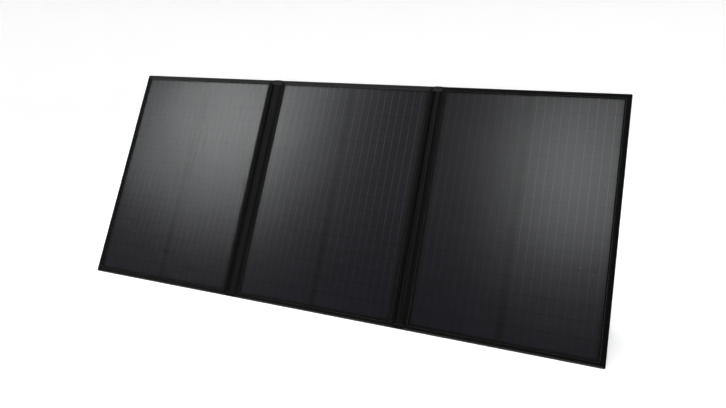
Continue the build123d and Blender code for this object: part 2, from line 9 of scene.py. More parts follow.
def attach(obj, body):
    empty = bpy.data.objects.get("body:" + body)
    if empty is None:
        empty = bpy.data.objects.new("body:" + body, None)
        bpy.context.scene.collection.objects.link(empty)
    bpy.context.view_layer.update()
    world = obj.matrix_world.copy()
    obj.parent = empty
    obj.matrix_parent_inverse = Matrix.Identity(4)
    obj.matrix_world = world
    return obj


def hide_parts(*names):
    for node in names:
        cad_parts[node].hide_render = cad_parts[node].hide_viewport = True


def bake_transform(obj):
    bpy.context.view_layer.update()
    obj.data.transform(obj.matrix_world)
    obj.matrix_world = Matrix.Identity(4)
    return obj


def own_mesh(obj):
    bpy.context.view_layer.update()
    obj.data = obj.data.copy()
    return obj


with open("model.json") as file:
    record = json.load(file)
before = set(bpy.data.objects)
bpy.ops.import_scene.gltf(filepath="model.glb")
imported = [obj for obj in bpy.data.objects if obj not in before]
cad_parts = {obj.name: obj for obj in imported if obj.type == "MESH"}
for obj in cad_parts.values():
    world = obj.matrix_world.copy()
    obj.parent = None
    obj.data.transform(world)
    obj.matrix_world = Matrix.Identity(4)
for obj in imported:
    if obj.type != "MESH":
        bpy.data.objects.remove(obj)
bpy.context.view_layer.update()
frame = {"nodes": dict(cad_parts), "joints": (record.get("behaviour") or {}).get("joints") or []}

# A three-section folding solar panel on its kickstands. Metres.
# A place on a section is (x, s, n): x along the panel, s up the section, n out of its front.

MM = 0.001

# ---- places, taken from the frame -------------------------------------------
JOINTS = {joint["name"]: joint for joint in frame["joints"]}
X = Vector((1, 0, 0))
UP = Vector(JOINTS["left_fold"]["axis"]).normalized()
NORMAL = X.cross(UP)
HINGE = Vector(JOINTS["centre_stand"]["pos_m"])
HINGE_S = 360 * MM
HINGE_N = -5.9 * MM
ORIGIN = HINGE - UP * HINGE_S - NORMAL * HINGE_N
ORIGIN.x = 0
OPEN = math.radians(JOINTS["centre_stand"]["range_deg"][1])
LEG = Matrix.Rotation(OPEN, 3, "X") @ -UP
LEG_OUT = X.cross(LEG)
DOWN = Vector((0, 0, -1))
BACK = Vector((0, 1, 0))


def at(x, s, n):
    """The point of a section at (x, s, n)."""
    return ORIGIN + X * x + UP * s + NORMAL * n


def on_leg(x, along, depth):
    """The point of an open kickstand, measured from its hinge axis."""
    return Vector((x, HINGE.y, HINGE.z)) + LEG * along + LEG_OUT * depth


def reach(node):
    """Lowest and highest (x, s, n) of a CAD node."""
    places = []
    for vertex in frame["nodes"][node].data.vertices:
        way = vertex.co - ORIGIN
        places.append((way.x, way.dot(UP), way.dot(NORMAL)))
    low = Vector([min(place[i] for place in places) for i in range(3)])
    high = Vector([max(place[i] for place in places) for i in range(3)])
    return low, high


SIDES = ("left", "centre", "right")
BINDING = {side: reach(f"{side}_edge_binding") for side in SIDES}
MID = {side: (low.x + high.x) / 2 for side, (low, high) in BINDING.items()}
PANEL_W = BINDING["centre"][1].x - BINDING["centre"][0].x
PANEL_H = BINDING["centre"][1].y
PANEL_T = -BINDING["centre"][0].z
LIP_SIDE = 14.5 * MM      # width of the front lip at the sides
LIP_END = 13 * MM         # and at the top and bottom
BACK_LIP = 12 * MM
LIP_T = 0.8 * MM
CORNER_R = 3 * MM


# ---- mesh helpers -----------------------------------------------------------
def clamp(share):
    return max(0.0, min(1.0, share))


def wobble(point, size, height):
    """A smooth, repeatable unevenness of cloth."""
    return noise.noise(point / size) * height


def finish_mesh(name, mesh, material, sharp=50):
    """Shades a mesh smooth, except along sharp edges, and makes its object."""
    mesh.polygons.foreach_set("use_smooth", [True] * len(mesh.polygons))
    mesh.set_sharp_from_angle(angle=math.radians(sharp))
    mesh.materials.append(material)
    piece = bpy.data.objects.new(name, mesh)
    bpy.context.scene.collection.objects.link(piece)
    return piece


def mesh_from(name, vertices, faces, material):
    """A mesh shaded smooth all over."""
    mesh = bpy.data.meshes.new(name)
    mesh.from_pydata(vertices, [], faces)
    mesh.update()
    return finish_mesh(name, mesh, material, sharp=180)


def running_length(points):
    total = [0.0]
    for a, b in zip(points, points[1:]):
        total.append(total[-1] + (b - a).length)
    return total


def loft(name, rows, material, close_rows=False, close_columns=False, caps=False, sharp=50):
    """A surface through rows of points, with UVs in metres along and across it."""
    count, width = len(rows), len(rows[0])
    along = running_length([row[0] for row in rows] + ([rows[0][0]] if close_rows else []))
    middle = rows[count // 2]
    across = running_length(middle + ([middle[0]] if close_columns else []))
    bm = bmesh.new()
    uv_layer = bm.loops.layers.uv.new("weave")
    grid = [[bm.verts.new(point) for point in row] for row in rows]
    for i in range(count if close_rows else count - 1):
        for j in range(width if close_columns else width - 1):
            corners = ((i, j), (i + 1, j), (i + 1, j + 1), (i, j + 1))
            face = bm.faces.new([grid[a % count][b % width] for a, b in corners])
            for loop, (a, b) in zip(face.loops, corners):
                loop[uv_layer].uv = (along[a], across[b])
    if caps:
        for row in (grid[0], grid[-1]):
            bm.faces.new(row)
    bmesh.ops.remove_doubles(bm, verts=bm.verts, dist=1e-6)
    bmesh.ops.recalc_face_normals(bm, faces=bm.faces)
    mesh = bpy.data.meshes.new(name)
    bm.to_mesh(mesh)
    bm.free()
    return finish_mesh(name, mesh, material, sharp)


def tube(name, rows, material, sharp=50):
    """A solid form through rings of points, closed at both ends."""
    return loft(name, rows, material, close_columns=True, caps=True, sharp=sharp)


def rounded_path(corners, radius, steps, cuts, closed):
    """2-D points along a polygon: round corners of `steps` pieces, straight runs of `cuts` pieces."""
    groups = []
    last = len(corners) - 1
    for i, corner in enumerate(corners):
        if not closed and i in (0, last):
            groups.append([corner])
            continue
        way_in = (corner - corners[i - 1]).normalized()
        way_out = (corners[(i + 1) % len(corners)] - corner).normalized()
        centre = corner - way_in * radius + way_out * radius
        arc = []
        for k in range(steps + 1):
            turn = math.pi / 2 * k / steps
            arc.append(centre + (way_in * math.sin(turn) - way_out * math.cos(turn)) * radius)
        groups.append(arc)
    path = []
    for i, group in enumerate(groups):
        path += group
        if i == last and not closed:
            break
        start, end = group[-1], groups[(i + 1) % len(groups)][0]
        path += [start.lerp(end, k / cuts[i]) for k in range(1, cuts[i])]
    return path


def rounded_box(x, s, half_x, half_s, radius, steps, cuts):
    """Points round a rectangle with round corners: its middle, half sides and cuts along x and s."""
    signs = ((-1, -1), (1, -1), (1, 1), (-1, 1))
    corners = [Vector((x + i * half_x, s + j * half_s)) for i, j in signs]
    return rounded_path(corners, radius, steps, cuts * 2, closed=True)


def direction_at(line, i):
    """The way a line of points runs at its point i."""
    return (line[min(i + 1, len(line) - 1)] - line[max(i - 1, 0)]).normalized()


BAND_CROWN = 0.12


def sweep_band(name, line, across, thickness, width, material, ribs):
    """A flat strap along a line of points: `across` is its width's direction, or one for each point."""
    sides = across if isinstance(across, list) else [across] * len(line)
    profile = []
    steps = 8 + 2 * ribs
    for k in range(steps + 1):
        t = -1 + 2 * k / steps
        edge = min(1.0, (1 - abs(t)) * 9) ** 0.5
        rise = 0.35 + 0.65 * edge + BAND_CROWN * (1 - t * t)
        profile.append((t * width / 2, thickness / 2 * rise))
    outline = profile + [(x, -z) for x, z in reversed(profile)]
    rows = []
    for i, point in enumerate(line):
        ahead = direction_at(line, i)
        side = (sides[i] - ahead * sides[i].dot(ahead)).normalized()
        out = ahead.cross(side)
        rows.append([point + side * x + out * z for x, z in outline])
    return tube(name, rows, material)


def smooth_line(points, cuts):
    """Points along a Catmull-Rom curve through the given ones."""
    line = []
    for i in range(len(points) - 1):
        before = points[max(i - 1, 0)]
        a, b = points[i], points[i + 1]
        after = points[min(i + 2, len(points) - 1)]
        for k in range(cuts):
            t = k / cuts
            line.append(
                (a * 2 + (b - before) * t + (before * 2 - a * 5 + b * 4 - after) * t * t
                 + (a * 3 - before - b * 3 + after) * t * t * t) / 2
            )
    line.append(points[-1])
    return line


STITCH_PITCH = 5 * MM
STITCH_L = 3.4 * MM
STITCH_R = 0.32 * MM
STITCH_SIDES = 5
STITCH_RINGS = ((-0.32, 0.8), (0.0, 1.0), (0.32, 0.8))    # share of its length, share of its radius
STITCH_SINK = 0.8         # how many radii lower its ends lie
STITCH_FLAT = 1.15        # how much wider than high it is


def stitch(centre, ahead, out, base):
    """The vertices and faces of one stitch, whose first vertex has the number `base`."""
    side = ahead.cross(out)
    end, sink = ahead * STITCH_L / 2, out * STITCH_R * STITCH_SINK
    vertices, faces = [centre - end - sink], []
    for shift, size in STITCH_RINGS:
        for m in range(STITCH_SIDES):
            turn = 2 * math.pi * m / STITCH_SIDES
            round_it = side * math.cos(turn) * STITCH_FLAT + out * math.sin(turn)
            vertices.append(centre + ahead * shift * STITCH_L + round_it * STITCH_R * size)
    vertices.append(centre + end - sink)
    tip = base + len(vertices) - 1
    for m in range(STITCH_SIDES):
        after = (m + 1) % STITCH_SIDES
        faces.append((base, base + 1 + after, base + 1 + m))
        for ring in (0, 1):
            a = base + 1 + ring * STITCH_SIDES
            faces.append((a + m, a + after, a + STITCH_SIDES + after, a + STITCH_SIDES + m))
        faces.append((tip, tip - STITCH_SIDES + m, tip - STITCH_SIDES + after))
    return vertices, faces


def stitching(name, seams, pitch=STITCH_PITCH):
    """Rows of thread stitches. A seam is a line of (point, outward direction)."""
    vertices, faces = [], []
    for seam in seams:
        points = [point for point, _ in seam]
        total = running_length(points)
        count = max(1, int(total[-1] / pitch))
        step = total[-1] / count
        i = 0
        for k in range(count):
            want = (k + 0.5) * step
            while total[i + 1] < want:
                i += 1
            share = (want - total[i]) / (total[i + 1] - total[i])
            out = seam[i][1].lerp(seam[i + 1][1], share).normalized()
            ahead = (points[i + 1] - points[i]).normalized()
            new = stitch(points[i].lerp(points[i + 1], share), ahead, out, len(vertices))
            vertices += new[0]
            faces += new[1]
    return mesh_from(name, vertices, faces, THREAD)


def apply_modifiers(piece):
    graph = bpy.context.evaluated_depsgraph_get()
    mesh = bpy.data.meshes.new_from_object(piece.evaluated_get(graph))
    piece.modifiers.clear()
    piece.data = mesh


def thicken(piece, thickness, towards):
    """Gives an open sheet a thickness, on the side that `towards` points to."""
    mean = sum((polygon.normal for polygon in piece.data.polygons), Vector())
    modifier = piece.modifiers.new("thickness", "SOLIDIFY")
    modifier.thickness = thickness
    modifier.offset = 1 if mean.dot(towards) > 0 else -1
    apply_modifiers(piece)


def fix(piece, slot, body, *replaced):
    """Hangs a piece on the body that it rides on and hides the CAD nodes that it stands for. Its slot is not
    used.
    """
    if replaced:
        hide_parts(*replaced)
    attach(piece, body)


def sew(name, seams, slot, body, pitch=STITCH_PITCH):
    thread = stitching(name, seams, pitch)
    fix(thread, slot, body)
    return thread


# ---- materials --------------------------------------------------------------
def shaded(colour, share):
    return tuple(min(1, c * share) for c in colour)


class Recipe:
    """A node material, built by short calls."""

    def __init__(self, name, colour, roughness, **sockets):
        self.material = bpy.data.materials.new(name)
        self.material.use_nodes = True
        self.nodes = self.material.node_tree.nodes
        self.links = self.material.node_tree.links
        self.shader = self.nodes["Principled BSDF"]
        self.shader.inputs["Base Color"].default_value = (*colour, 1)
        self.shader.inputs["Roughness"].default_value = roughness
        for socket, value in sockets.items():
            self.shader.inputs[socket.replace("_", " ").title().replace("Ior", "IOR")].default_value = value

    def add(self, kind, **settings):
        node = self.nodes.new(kind)
        for key, value in settings.items():
            setattr(node, key, value)
        return node

    def put(self, value, socket):
        """Sets a number or a colour on a socket, or links a node's output to it."""
        if isinstance(value, tuple):
            socket.default_value = (*value, 1)
        elif isinstance(value, (int, float)):
            socket.default_value = value
        else:
            self.links.new(value, socket)

    def math(self, operation, a, b=None):
        node = self.add("ShaderNodeMath", operation=operation)
        self.put(a, node.inputs[0])
        if b is not None:
            self.put(b, node.inputs[1])
        return node.outputs[0]

    def product(self, *values):
        total = values[0]
        for value in values[1:]:
            total = self.math("MULTIPLY", total, value)
        return total

    def away(self, value, middle):
        return self.math("ABSOLUTE", self.math("SUBTRACT", value, middle))

    def mix(self, share, a, b, blend="MIX"):
        node = self.add("ShaderNodeMix", data_type="RGBA", blend_type=blend)
        colours = [socket for socket in node.inputs if socket.type == "RGBA"]
        for value, socket in zip((share, a, b), (node.inputs["Factor"], *colours)):
            self.put(value, socket)
        return [socket for socket in node.outputs if socket.type == "RGBA"][0]

    def tinted(self, a, b):
        return self.mix(1.0, a, b, "MULTIPLY")

    def place(self):
        """(x, s, n) of a point of a section, from its place on the object."""
        coordinates = self.add("ShaderNodeTexCoord").outputs["Object"]
        found = []
        for direction in (X, UP, NORMAL):
            dot = self.add("ShaderNodeVectorMath", operation="DOT_PRODUCT")
            self.links.new(coordinates, dot.inputs[0])
            dot.inputs[1].default_value = direction
            found.append(self.math("SUBTRACT", dot.outputs["Value"], ORIGIN.dot(direction)))
        return found

    def noise(self, scale, detail=3):
        node = self.add("ShaderNodeTexNoise")
        node.inputs["Scale"].default_value = scale
        node.inputs["Detail"].default_value = detail
        self.links.new(self.add("ShaderNodeTexCoord").outputs["Object"], node.inputs["Vector"])
        return node.outputs["Fac"]

    def ramp(self, value, *stops):
        """A colour ramp. A stop is its position and a colour or a grey level."""
        node = self.add("ShaderNodeValToRGB")
        self.links.new(value, node.inputs["Fac"])
        elements = node.color_ramp.elements
        while len(elements) < len(stops):
            elements.new(0.5)
        for element, (position, colour) in zip(elements, stops):
            element.position = position
            element.color = (*colour, 1) if isinstance(colour, tuple) else (colour, colour, colour, 1)
        return node.outputs["Color"]

    def colour(self, value):
        self.links.new(value, self.shader.inputs["Base Color"])

    def roughness(self, value, low, high):
        node = self.add("ShaderNodeMapRange")
        self.links.new(value, node.inputs["Value"])
        node.inputs["To Min"].default_value = low
        node.inputs["To Max"].default_value = high
        self.links.new(node.outputs["Result"], self.shader.inputs["Roughness"])

    def bump(self, height, distance, strength=1.0, below=None, coat=False):
        node = self.add("ShaderNodeBump")
        node.inputs["Distance"].default_value = distance
        node.inputs["Strength"].default_value = strength
        self.links.new(height, node.inputs["Height"])
        if below:
            self.links.new(below, node.inputs["Normal"])
        self.links.new(node.outputs["Normal"], self.shader.inputs["Normal"])
        if coat:
            self.links.new(node.outputs["Normal"], self.shader.inputs["Coat Normal"])
        return node.outputs["Normal"]


CLOTH_GLOSS = 0.06
RIB_PITCH = 3             # how much wider than a thread a rib of webbing is
# soft edge of a patch of painted light
PAINTED_LIGHT_FADE = 1 * MM


def woven(name, colour, pitch, roughness=0.85, sheen=0.15, gloss=CLOTH_GLOSS, relief=0.12 * MM, ribbed=False,
          painted_groove_shade=None, painted_light_parts=()):
    """Plain weave, or ribbed webbing, on UVs in metres.

    A groove shade is a line of painted shade across the cloth, where it dips into a groove: (middle, half
    width).
    A painted light part is ((from, to) along, (from, to) across, colour): a patch of painted highlight or
    painted reflection.
    """
    recipe = Recipe(
        name, colour, roughness, sheen_weight=sheen, sheen_roughness=0.5, specular_ior_level=gloss
    )
    split = recipe.add("ShaderNodeSeparateXYZ")
    recipe.links.new(recipe.add("ShaderNodeTexCoord").outputs["UV"], split.inputs[0])
    along, across = split.outputs["X"], split.outputs["Y"]
    u = recipe.math("DIVIDE", along, pitch)
    v = recipe.math("DIVIDE", across, pitch * (RIB_PITCH if ribbed else 1))
    waves = [recipe.math("SINE", recipe.product(way, math.pi)) for way in (u, v)]
    warp, weft = [recipe.math("ABSOLUTE", wave) for wave in waves]
    cells = recipe.math("ADD", recipe.math("FLOOR", u), recipe.math("FLOOR", v))
    odd = recipe.math("FLOORED_MODULO", cells, 2)
    under = recipe.product(weft, recipe.math("SUBTRACT", 1, odd))
    height = recipe.math("ADD", recipe.product(warp, odd), under)
    wear = recipe.noise(60, 4)
    # Painted light and shade: each thread is lighter on its crown and darker where the weave dips between
    # threads.
    thread = recipe.ramp(height, (0.0, shaded(colour, 0.55)), (1.0, shaded(colour, 1.9)))
    faded = recipe.ramp(wear, (0.3, (0.72, 0.72, 0.74)), (0.72, (1.0, 1.0, 0.98)))
    shade = recipe.tinted(thread, faded)
    # Painted shade: the cloth is darkened almost to black along its groove, where shade falls.
    if painted_groove_shade:
        middle, half = painted_groove_shade
        depth = recipe.math("DIVIDE", recipe.away(across, middle), half)
        shade = recipe.tinted(shade, recipe.ramp(depth, (0.6, 0.02), (1.0, 1)))
    # Painted light: patches of painted highlight or painted reflection, lighter than the cloth.
    for span_along, span_across, painted_light_colour in painted_light_parts:
        share = recipe.ramp(recipe.noise(220, 4), (0.3, 0.55), (0.6, 1))
        for value, (low, high) in ((along, span_along), (across, span_across)):
            inside = recipe.math("SUBTRACT", (high - low) / 2, recipe.away(value, (low + high) / 2))
            inside = recipe.math("MINIMUM", recipe.math("DIVIDE", inside, PAINTED_LIGHT_FADE), 1)
            share = recipe.product(share, recipe.math("MAXIMUM", inside, 0))
        shade = recipe.mix(share, shade, painted_light_colour)
    recipe.colour(shade)
    recipe.roughness(wear, roughness - 0.08, roughness + 0.08)
    fold = recipe.bump(recipe.noise(90, 2), 0.5 * MM, 0.35)
    recipe.bump(height, relief, 0.8, below=fold)
    return recipe.material


COLUMN_STEP = 97.35 * MM  # half the distance between the sections' columns of cells, to tell cells apart
CELL_PITCH = 34 * MM
FIRST_ROW_S = 15.5 * MM   # lower edge of the first row of cells
CELLS_HALF_H = 273 * MM   # half the height that has gaps between rows
FINGER_PITCH = 1.3 * MM
FINGER_SHARE = 0.09
UNDER_FILM = {"coat_roughness": 0.3, "coat_ior": 1.4}
FULL_COAT = 0.95
ROW_GAP_DULL = 0.4        # how much of the film's gloss is lost in the gaps between rows


def film_gloss(recipe):
    """The satin film over the whole laminate: slightly wavy, with fine grain."""
    wavy = recipe.bump(recipe.noise(9, 2), 0.5 * MM, 0.5, coat=True)
    recipe.bump(recipe.noise(420, 2), 0.008 * MM, 0.5, below=wavy, coat=True)


def row_at(recipe, s):
    """Number of the row of cells at s, with its fraction."""
    return recipe.math("DIVIDE", recipe.math("SUBTRACT", s, FIRST_ROW_S), CELL_PITCH)


def cell_material():
    """Black cells, each with its own slight tint, and fine finger lines."""
    recipe = Recipe(
        "solar_cell", (0.001, 0.001, 0.002), 0.4, coat_weight=1.0, specular_ior_level=0.0, **UNDER_FILM
    )
    x, s, _ = recipe.place()
    both = recipe.add("ShaderNodeCombineXYZ")
    recipe.links.new(recipe.math("FLOOR", recipe.math("DIVIDE", x, COLUMN_STEP)), both.inputs[0])
    recipe.links.new(recipe.math("FLOOR", row_at(recipe, s)), both.inputs[1])
    chance = recipe.add("ShaderNodeTexWhiteNoise", noise_dimensions="3D")
    recipe.links.new(both.outputs[0], chance.inputs["Vector"])
    tint = recipe.ramp(
        chance.outputs["Value"],
        (0.0, (0.004, 0.0034, 0.0066)), (0.5, (0.0045, 0.0038, 0.0072)), (1.0, (0.005, 0.0042, 0.0078)),
    )
    mottled = recipe.tinted(tint, recipe.ramp(recipe.noise(35, 4), (0.3, 0.8), (0.7, 1)))
    between = recipe.math("FRACT", recipe.math("DIVIDE", s, FINGER_PITCH))
    finger = recipe.math("LESS_THAN", between, FINGER_SHARE)
    recipe.colour(recipe.mix(recipe.product(finger, 0.25), mottled, (0.008, 0.008, 0.01)))
    film_gloss(recipe)
    return recipe.material


def base_material():
    """The black board between and round the cells, duller in the gaps between rows."""
    dark, pale = (0.0004, 0.0004, 0.0006), (0.0009, 0.0009, 0.0012)
    recipe = Recipe("laminate_base", dark, 0.5, coat_weight=FULL_COAT, specular_ior_level=0.0, **UNDER_FILM)
    recipe.colour(recipe.ramp(recipe.noise(160, 4), (0.3, dark), (0.7, pale)))
    _, s, _ = recipe.place()
    share = recipe.math("FRACT", row_at(recipe, s))
    between_rows = recipe.math("LESS_THAN", recipe.math("PINGPONG", share, 0.5), 0.02)
    inner = recipe.math("LESS_THAN", recipe.away(s, PANEL_H / 2), CELLS_HALF_H)
    dull = recipe.product(between_rows, inner, ROW_GAP_DULL)
    recipe.links.new(recipe.math("SUBTRACT", FULL_COAT, dull), recipe.shader.inputs["Coat Weight"])
    film_gloss(recipe)
    return recipe.material


def wire_material():
    """Busbar wires with patches of tarnish, and darker towards the bottom of a section."""
    recipe = Recipe("busbar_wire", (0.02, 0.02, 0.021), 0.5, metallic=1.0, coat_weight=1.0, **UNDER_FILM)
    tarnish = recipe.noise(300, 3)
    bright = recipe.ramp(tarnish, (0.3, (0.033, 0.033, 0.0337)), (0.75, (0.051, 0.051, 0.0518)))
    _, s, _ = recipe.place()
    # Darker towards the bottom of a section.
    bottom_darkening = recipe.ramp(recipe.math("DIVIDE", s, PANEL_H), (0.1, 0.3), (0.55, 1))
    recipe.colour(recipe.tinted(bright, bottom_darkening))
    recipe.roughness(tarnish, 0.45, 0.58)
    film_gloss(recipe)
    return recipe.material


def clear_film_material():
    recipe = Recipe("clear_film", (0.02, 0.02, 0.02), 0.35, alpha=0.006, ior=1.4)
    recipe.roughness(recipe.noise(60, 3), 0.28, 0.4)
    recipe.bump(recipe.noise(9, 2), 0.5 * MM, 0.5)
    return recipe.material


def moulded(name, colour, roughness, grain=900, relief=0.06 * MM):
    """Moulded plastic or rubber with a fine spark-eroded grain."""
    recipe = Recipe(name, colour, roughness)
    patches = recipe.noise(45, 4)
    recipe.colour(recipe.ramp(patches, (0.3, shaded(colour, 0.75)), (0.72, shaded(colour, 1.25))))
    recipe.roughness(patches, roughness - 0.06, roughness + 0.08)
    recipe.bump(recipe.noise(grain, 3), relief, 0.6)
    return recipe.material


def metal(name, colour, roughness):
    """Plated metal with fine grain and dull patches."""
    recipe = Recipe(name, colour, roughness, metallic=1.0)
    patches = recipe.noise(120, 3)
    recipe.colour(recipe.ramp(patches, (0.3, shaded(colour, 0.8)), (0.7, shaded(colour, 1.1))))
    recipe.roughness(patches, roughness - 0.07, roughness + 0.1)
    recipe.bump(recipe.noise(700, 4), 0.03 * MM, 0.5)
    return recipe.material


def thread_material():
    recipe = Recipe("sewing_thread", (0.02, 0.02, 0.022), 0.7, sheen_weight=0.3)
    twist = recipe.noise(1500, 2)
    recipe.colour(recipe.ramp(twist, (0.3, (0.012, 0.012, 0.013)), (0.7, (0.04, 0.04, 0.043))))
    recipe.bump(twist, 0.08 * MM, 0.7)
    return recipe.material


def board_material():
    """Circuit board: lacquer with traces."""
    recipe = Recipe("circuit_board", (0.01, 0.08, 0.03), 0.35, coat_weight=0.5)
    tracks = recipe.add("ShaderNodeTexBrick")
    tracks.inputs["Scale"].default_value = 140
    tracks.inputs["Color1"].default_value = (0.008, 0.07, 0.025, 1)
    tracks.inputs["Color2"].default_value = (0.012, 0.1, 0.035, 1)
    tracks.inputs["Mortar"].default_value = (0.03, 0.16, 0.07, 1)
    recipe.links.new(recipe.add("ShaderNodeTexCoord").outputs["Object"], tracks.inputs["Vector"])
    recipe.colour(tracks.outputs["Color"])
    recipe.bump(tracks.outputs["Fac"], 0.05 * MM, 0.5)
    return recipe.material


def tape_cloth(name, *painted_light_parts):
    colour = (0.0007, 0.00075, 0.0007)
    return woven(name, colour, 0.7 * MM, roughness=0.5, sheen=0.005, gloss=0.05, painted_light_parts=painted_light_parts)


# Painted light on the tape: a painted reflection of the floor in a line along the bottom edge, and a painted
# highlight over the lip along the top one.
LOW_PAINTED_REFLECTION = (0.028, 0.031, 0.026)
TOP_PAINTED_HIGHLIGHT = (0.017, 0.018, 0.0165)
# Where the painted floor reflection lies across the tape, near its outer edge.
LOW_LINE = (13 * MM, 18.5 * MM)
TOP_LIP = (-2 * MM, 17 * MM)
BOTTOM_RUN = (0, 387 * MM)
TOP_RUN = (936 * MM, 1323 * MM)
ANY_RUN = (-1, 1)
SECTION_LOW = (BOTTOM_RUN, LOW_LINE, LOW_PAINTED_REFLECTION)
TAPE = tape_cloth("binding_tape")
LOW_TAPE = tape_cloth("binding_tape_low", (ANY_RUN, LOW_LINE, LOW_PAINTED_REFLECTION))
TOP_TAPE = tape_cloth("binding_tape_top", (ANY_RUN, TOP_LIP, TOP_PAINTED_HIGHLIGHT))
SECTION_TAPE = tape_cloth("binding_tape_section", SECTION_LOW, (TOP_RUN, TOP_LIP, TOP_PAINTED_HIGHLIGHT))
# The right section's tape has the painted floor reflection but no painted highlight on its top lip.
TAPE_NO_TOP_HIGHLIGHT = tape_cloth("binding_tape_no_top_highlight", SECTION_LOW)
CLOTH = woven("pack_cloth", (0.026, 0.026, 0.029), 0.9 * MM, roughness=0.82, sheen=0.12)
WEBBING = woven(
    "webbing", (0.034, 0.034, 0.036), 1.1 * MM, roughness=0.75, sheen=0.2, relief=0.3 * MM, ribbed=True
)
ZIP_CLOTH = woven("zip_tape", (0.018, 0.018, 0.019), 0.6 * MM, sheen=0.1)
PAD_CLOTH = woven("grip_cloth", (0.036, 0.036, 0.039), 1.2 * MM, sheen=0.2)
THREAD = thread_material()
TEETH = moulded("zip_coil", (0.018, 0.018, 0.02), 0.4)
PLASTIC = moulded("moulded_plastic", (0.02, 0.02, 0.022), 0.5, relief=0.1 * MM)
NICKEL = metal("snap_nickel", (0.32, 0.32, 0.34), 0.35)

NODE_MATERIALS = {
    "solar_cells": cell_material(),
    "laminate_base": base_material(),
    "cell_ribbons": wire_material(),
    "front_sheet": clear_film_material(),
    "stand_board": moulded("stiff_board", (0.05, 0.045, 0.04), 0.7, grain=400),
    "stand_foot": moulded("foot_rubber", (0.016, 0.016, 0.017), 0.75, grain=700, relief=0.15 * MM),
    "snap_studs": NICKEL,
    "snap_sockets": NICKEL,
    "closure_magnets": metal("magnet_nickel", (0.55, 0.55, 0.57), 0.25),
    "zip_slider": metal("slider_gunmetal", (0.16, 0.16, 0.17), 0.4),
    "junction_box_base": PLASTIC,
    "junction_box_lid": PLASTIC,
    "junction_box_screws": metal("screw_steel", (0.5, 0.5, 0.52), 0.35),
    "diode_board": board_material(),
    "output_socket": moulded("socket_plastic", (0.012, 0.012, 0.013), 0.3),
    "socket_cap": moulded("cap_rubber", (0.02, 0.02, 0.021), 0.6),
}


def dress_nodes():
    """Gives the CAD nodes that stay in view their materials."""
    for name, node in frame["nodes"].items():
        for ending, material in NODE_MATERIALS.items():
            if name == ending or name.endswith("_" + ending):
                node.data.materials.clear()
                node.data.materials.append(material)


# ---- binding tape -----------------------------------------------------------
# The tape's profile: (share of the lip's width from the outer edge, height over the face).
LIP_PROFILE = (
    (1.0, -0.75), (1.0, -0.3), (0.965, -0.02), (0.9, 0.16), (0.83, 0.08), (0.79, -0.08), (0.75, 0.08),
    (0.62, 0.28), (0.42, 0.36), (0.26, 0.26), (0.14, -0.06), (0.06, -0.7), (0.015, -1.6),
)
SEAM_SHARE = 0.79
TAPE_INSIDE = 0.42        # where the tape's inner faces start, as a share of the lip's width
SECTION_CUTS = (36, 48)


def lip_points(edge, lip_edge, place, n, out, seed):
    """A lip's outer face, from its free edge to the outer edge."""
    points = []
    for share, height in LIP_PROFILE:
        spot = edge.lerp(lip_edge, share)
        uneven = wobble(Vector((spot.x, spot.y, seed)), 0.035, 0.09) * min(1, (1 - share) * 12)
        points.append(place(spot.x, spot.y, n + out * (height + uneven) * MM))
    return points


def binding_rows(outer, front, back, front_n, back_n, place):
    """Rows of a folded tape: `outer` is its edge, `front` and `back` are the inner edges of its lips."""
    rows = []
    for edge, front_edge, back_edge in zip(outer, front, back):
        row = lip_points(edge, front_edge, place, front_n, 1, 0)
        row.append(place(edge.x, edge.y, (front_n + back_n) / 2))
        row += reversed(lip_points(edge, back_edge, place, back_n, -1, 1))
        for lip_edge, height in ((back_edge, back_n + LIP_T), (front_edge, front_n - LIP_T)):
            row.append(place(*edge.lerp(lip_edge, TAPE_INSIDE), height))
        rows.append(row)
    return rows


def seam_line(outer, inner, place, n, out):
    return [(place(*edge.lerp(lip, SEAM_SHARE), n), out) for edge, lip in zip(outer, inner)]


def section_ring(mid, inset_x, inset_s, radius):
    """Points round a section, inset from its edges."""
    half_x, half_s = PANEL_W / 2 - inset_x, PANEL_H / 2 - inset_s
    return rounded_box(mid, PANEL_H / 2, half_x, half_s, radius, 6, SECTION_CUTS)


def section_binding(side):
    outer = section_ring(MID[side], 0, 0, CORNER_R)
    front = section_ring(MID[side], LIP_SIDE, LIP_END, 1 * MM)
    back = section_ring(MID[side], BACK_LIP, BACK_LIP, 1 * MM)
    rows = binding_rows(outer, front, back, 0, -PANEL_T, at)
    material = TAPE_NO_TOP_HIGHLIGHT if side == "right" else SECTION_TAPE
    tape = loft(f"{side}_binding_tape", rows, material, close_rows=True, close_columns=True)
    fix(tape, "binding_fabric", f"{side}_section", f"{side}_edge_binding")
    outer, front, back = [ring + ring[:1] for ring in (outer, front, back)]
    seams = [
        seam_line(outer, front, at, 0.02 * MM, NORMAL),
        seam_line(outer, back, at, -PANEL_T - 0.02 * MM, -NORMAL),
    ]
    sew(f"{side}_binding_stitches", seams, "binding_fabric", f"{side}_section")


# ---- back cloth -------------------------------------------------------------
CLOTH_W = 403 * MM
CLOTH_H = 565 * MM
CLOTH_T = 0.6 * MM
CLOTH_EDGE_N = -3.75      # where the cloth's back lies under the binding, in mm
CLOTH_BULGE = 1.05        # how much further back it lies inside the binding, in mm
CLOTH_CUTS = (68, 94)


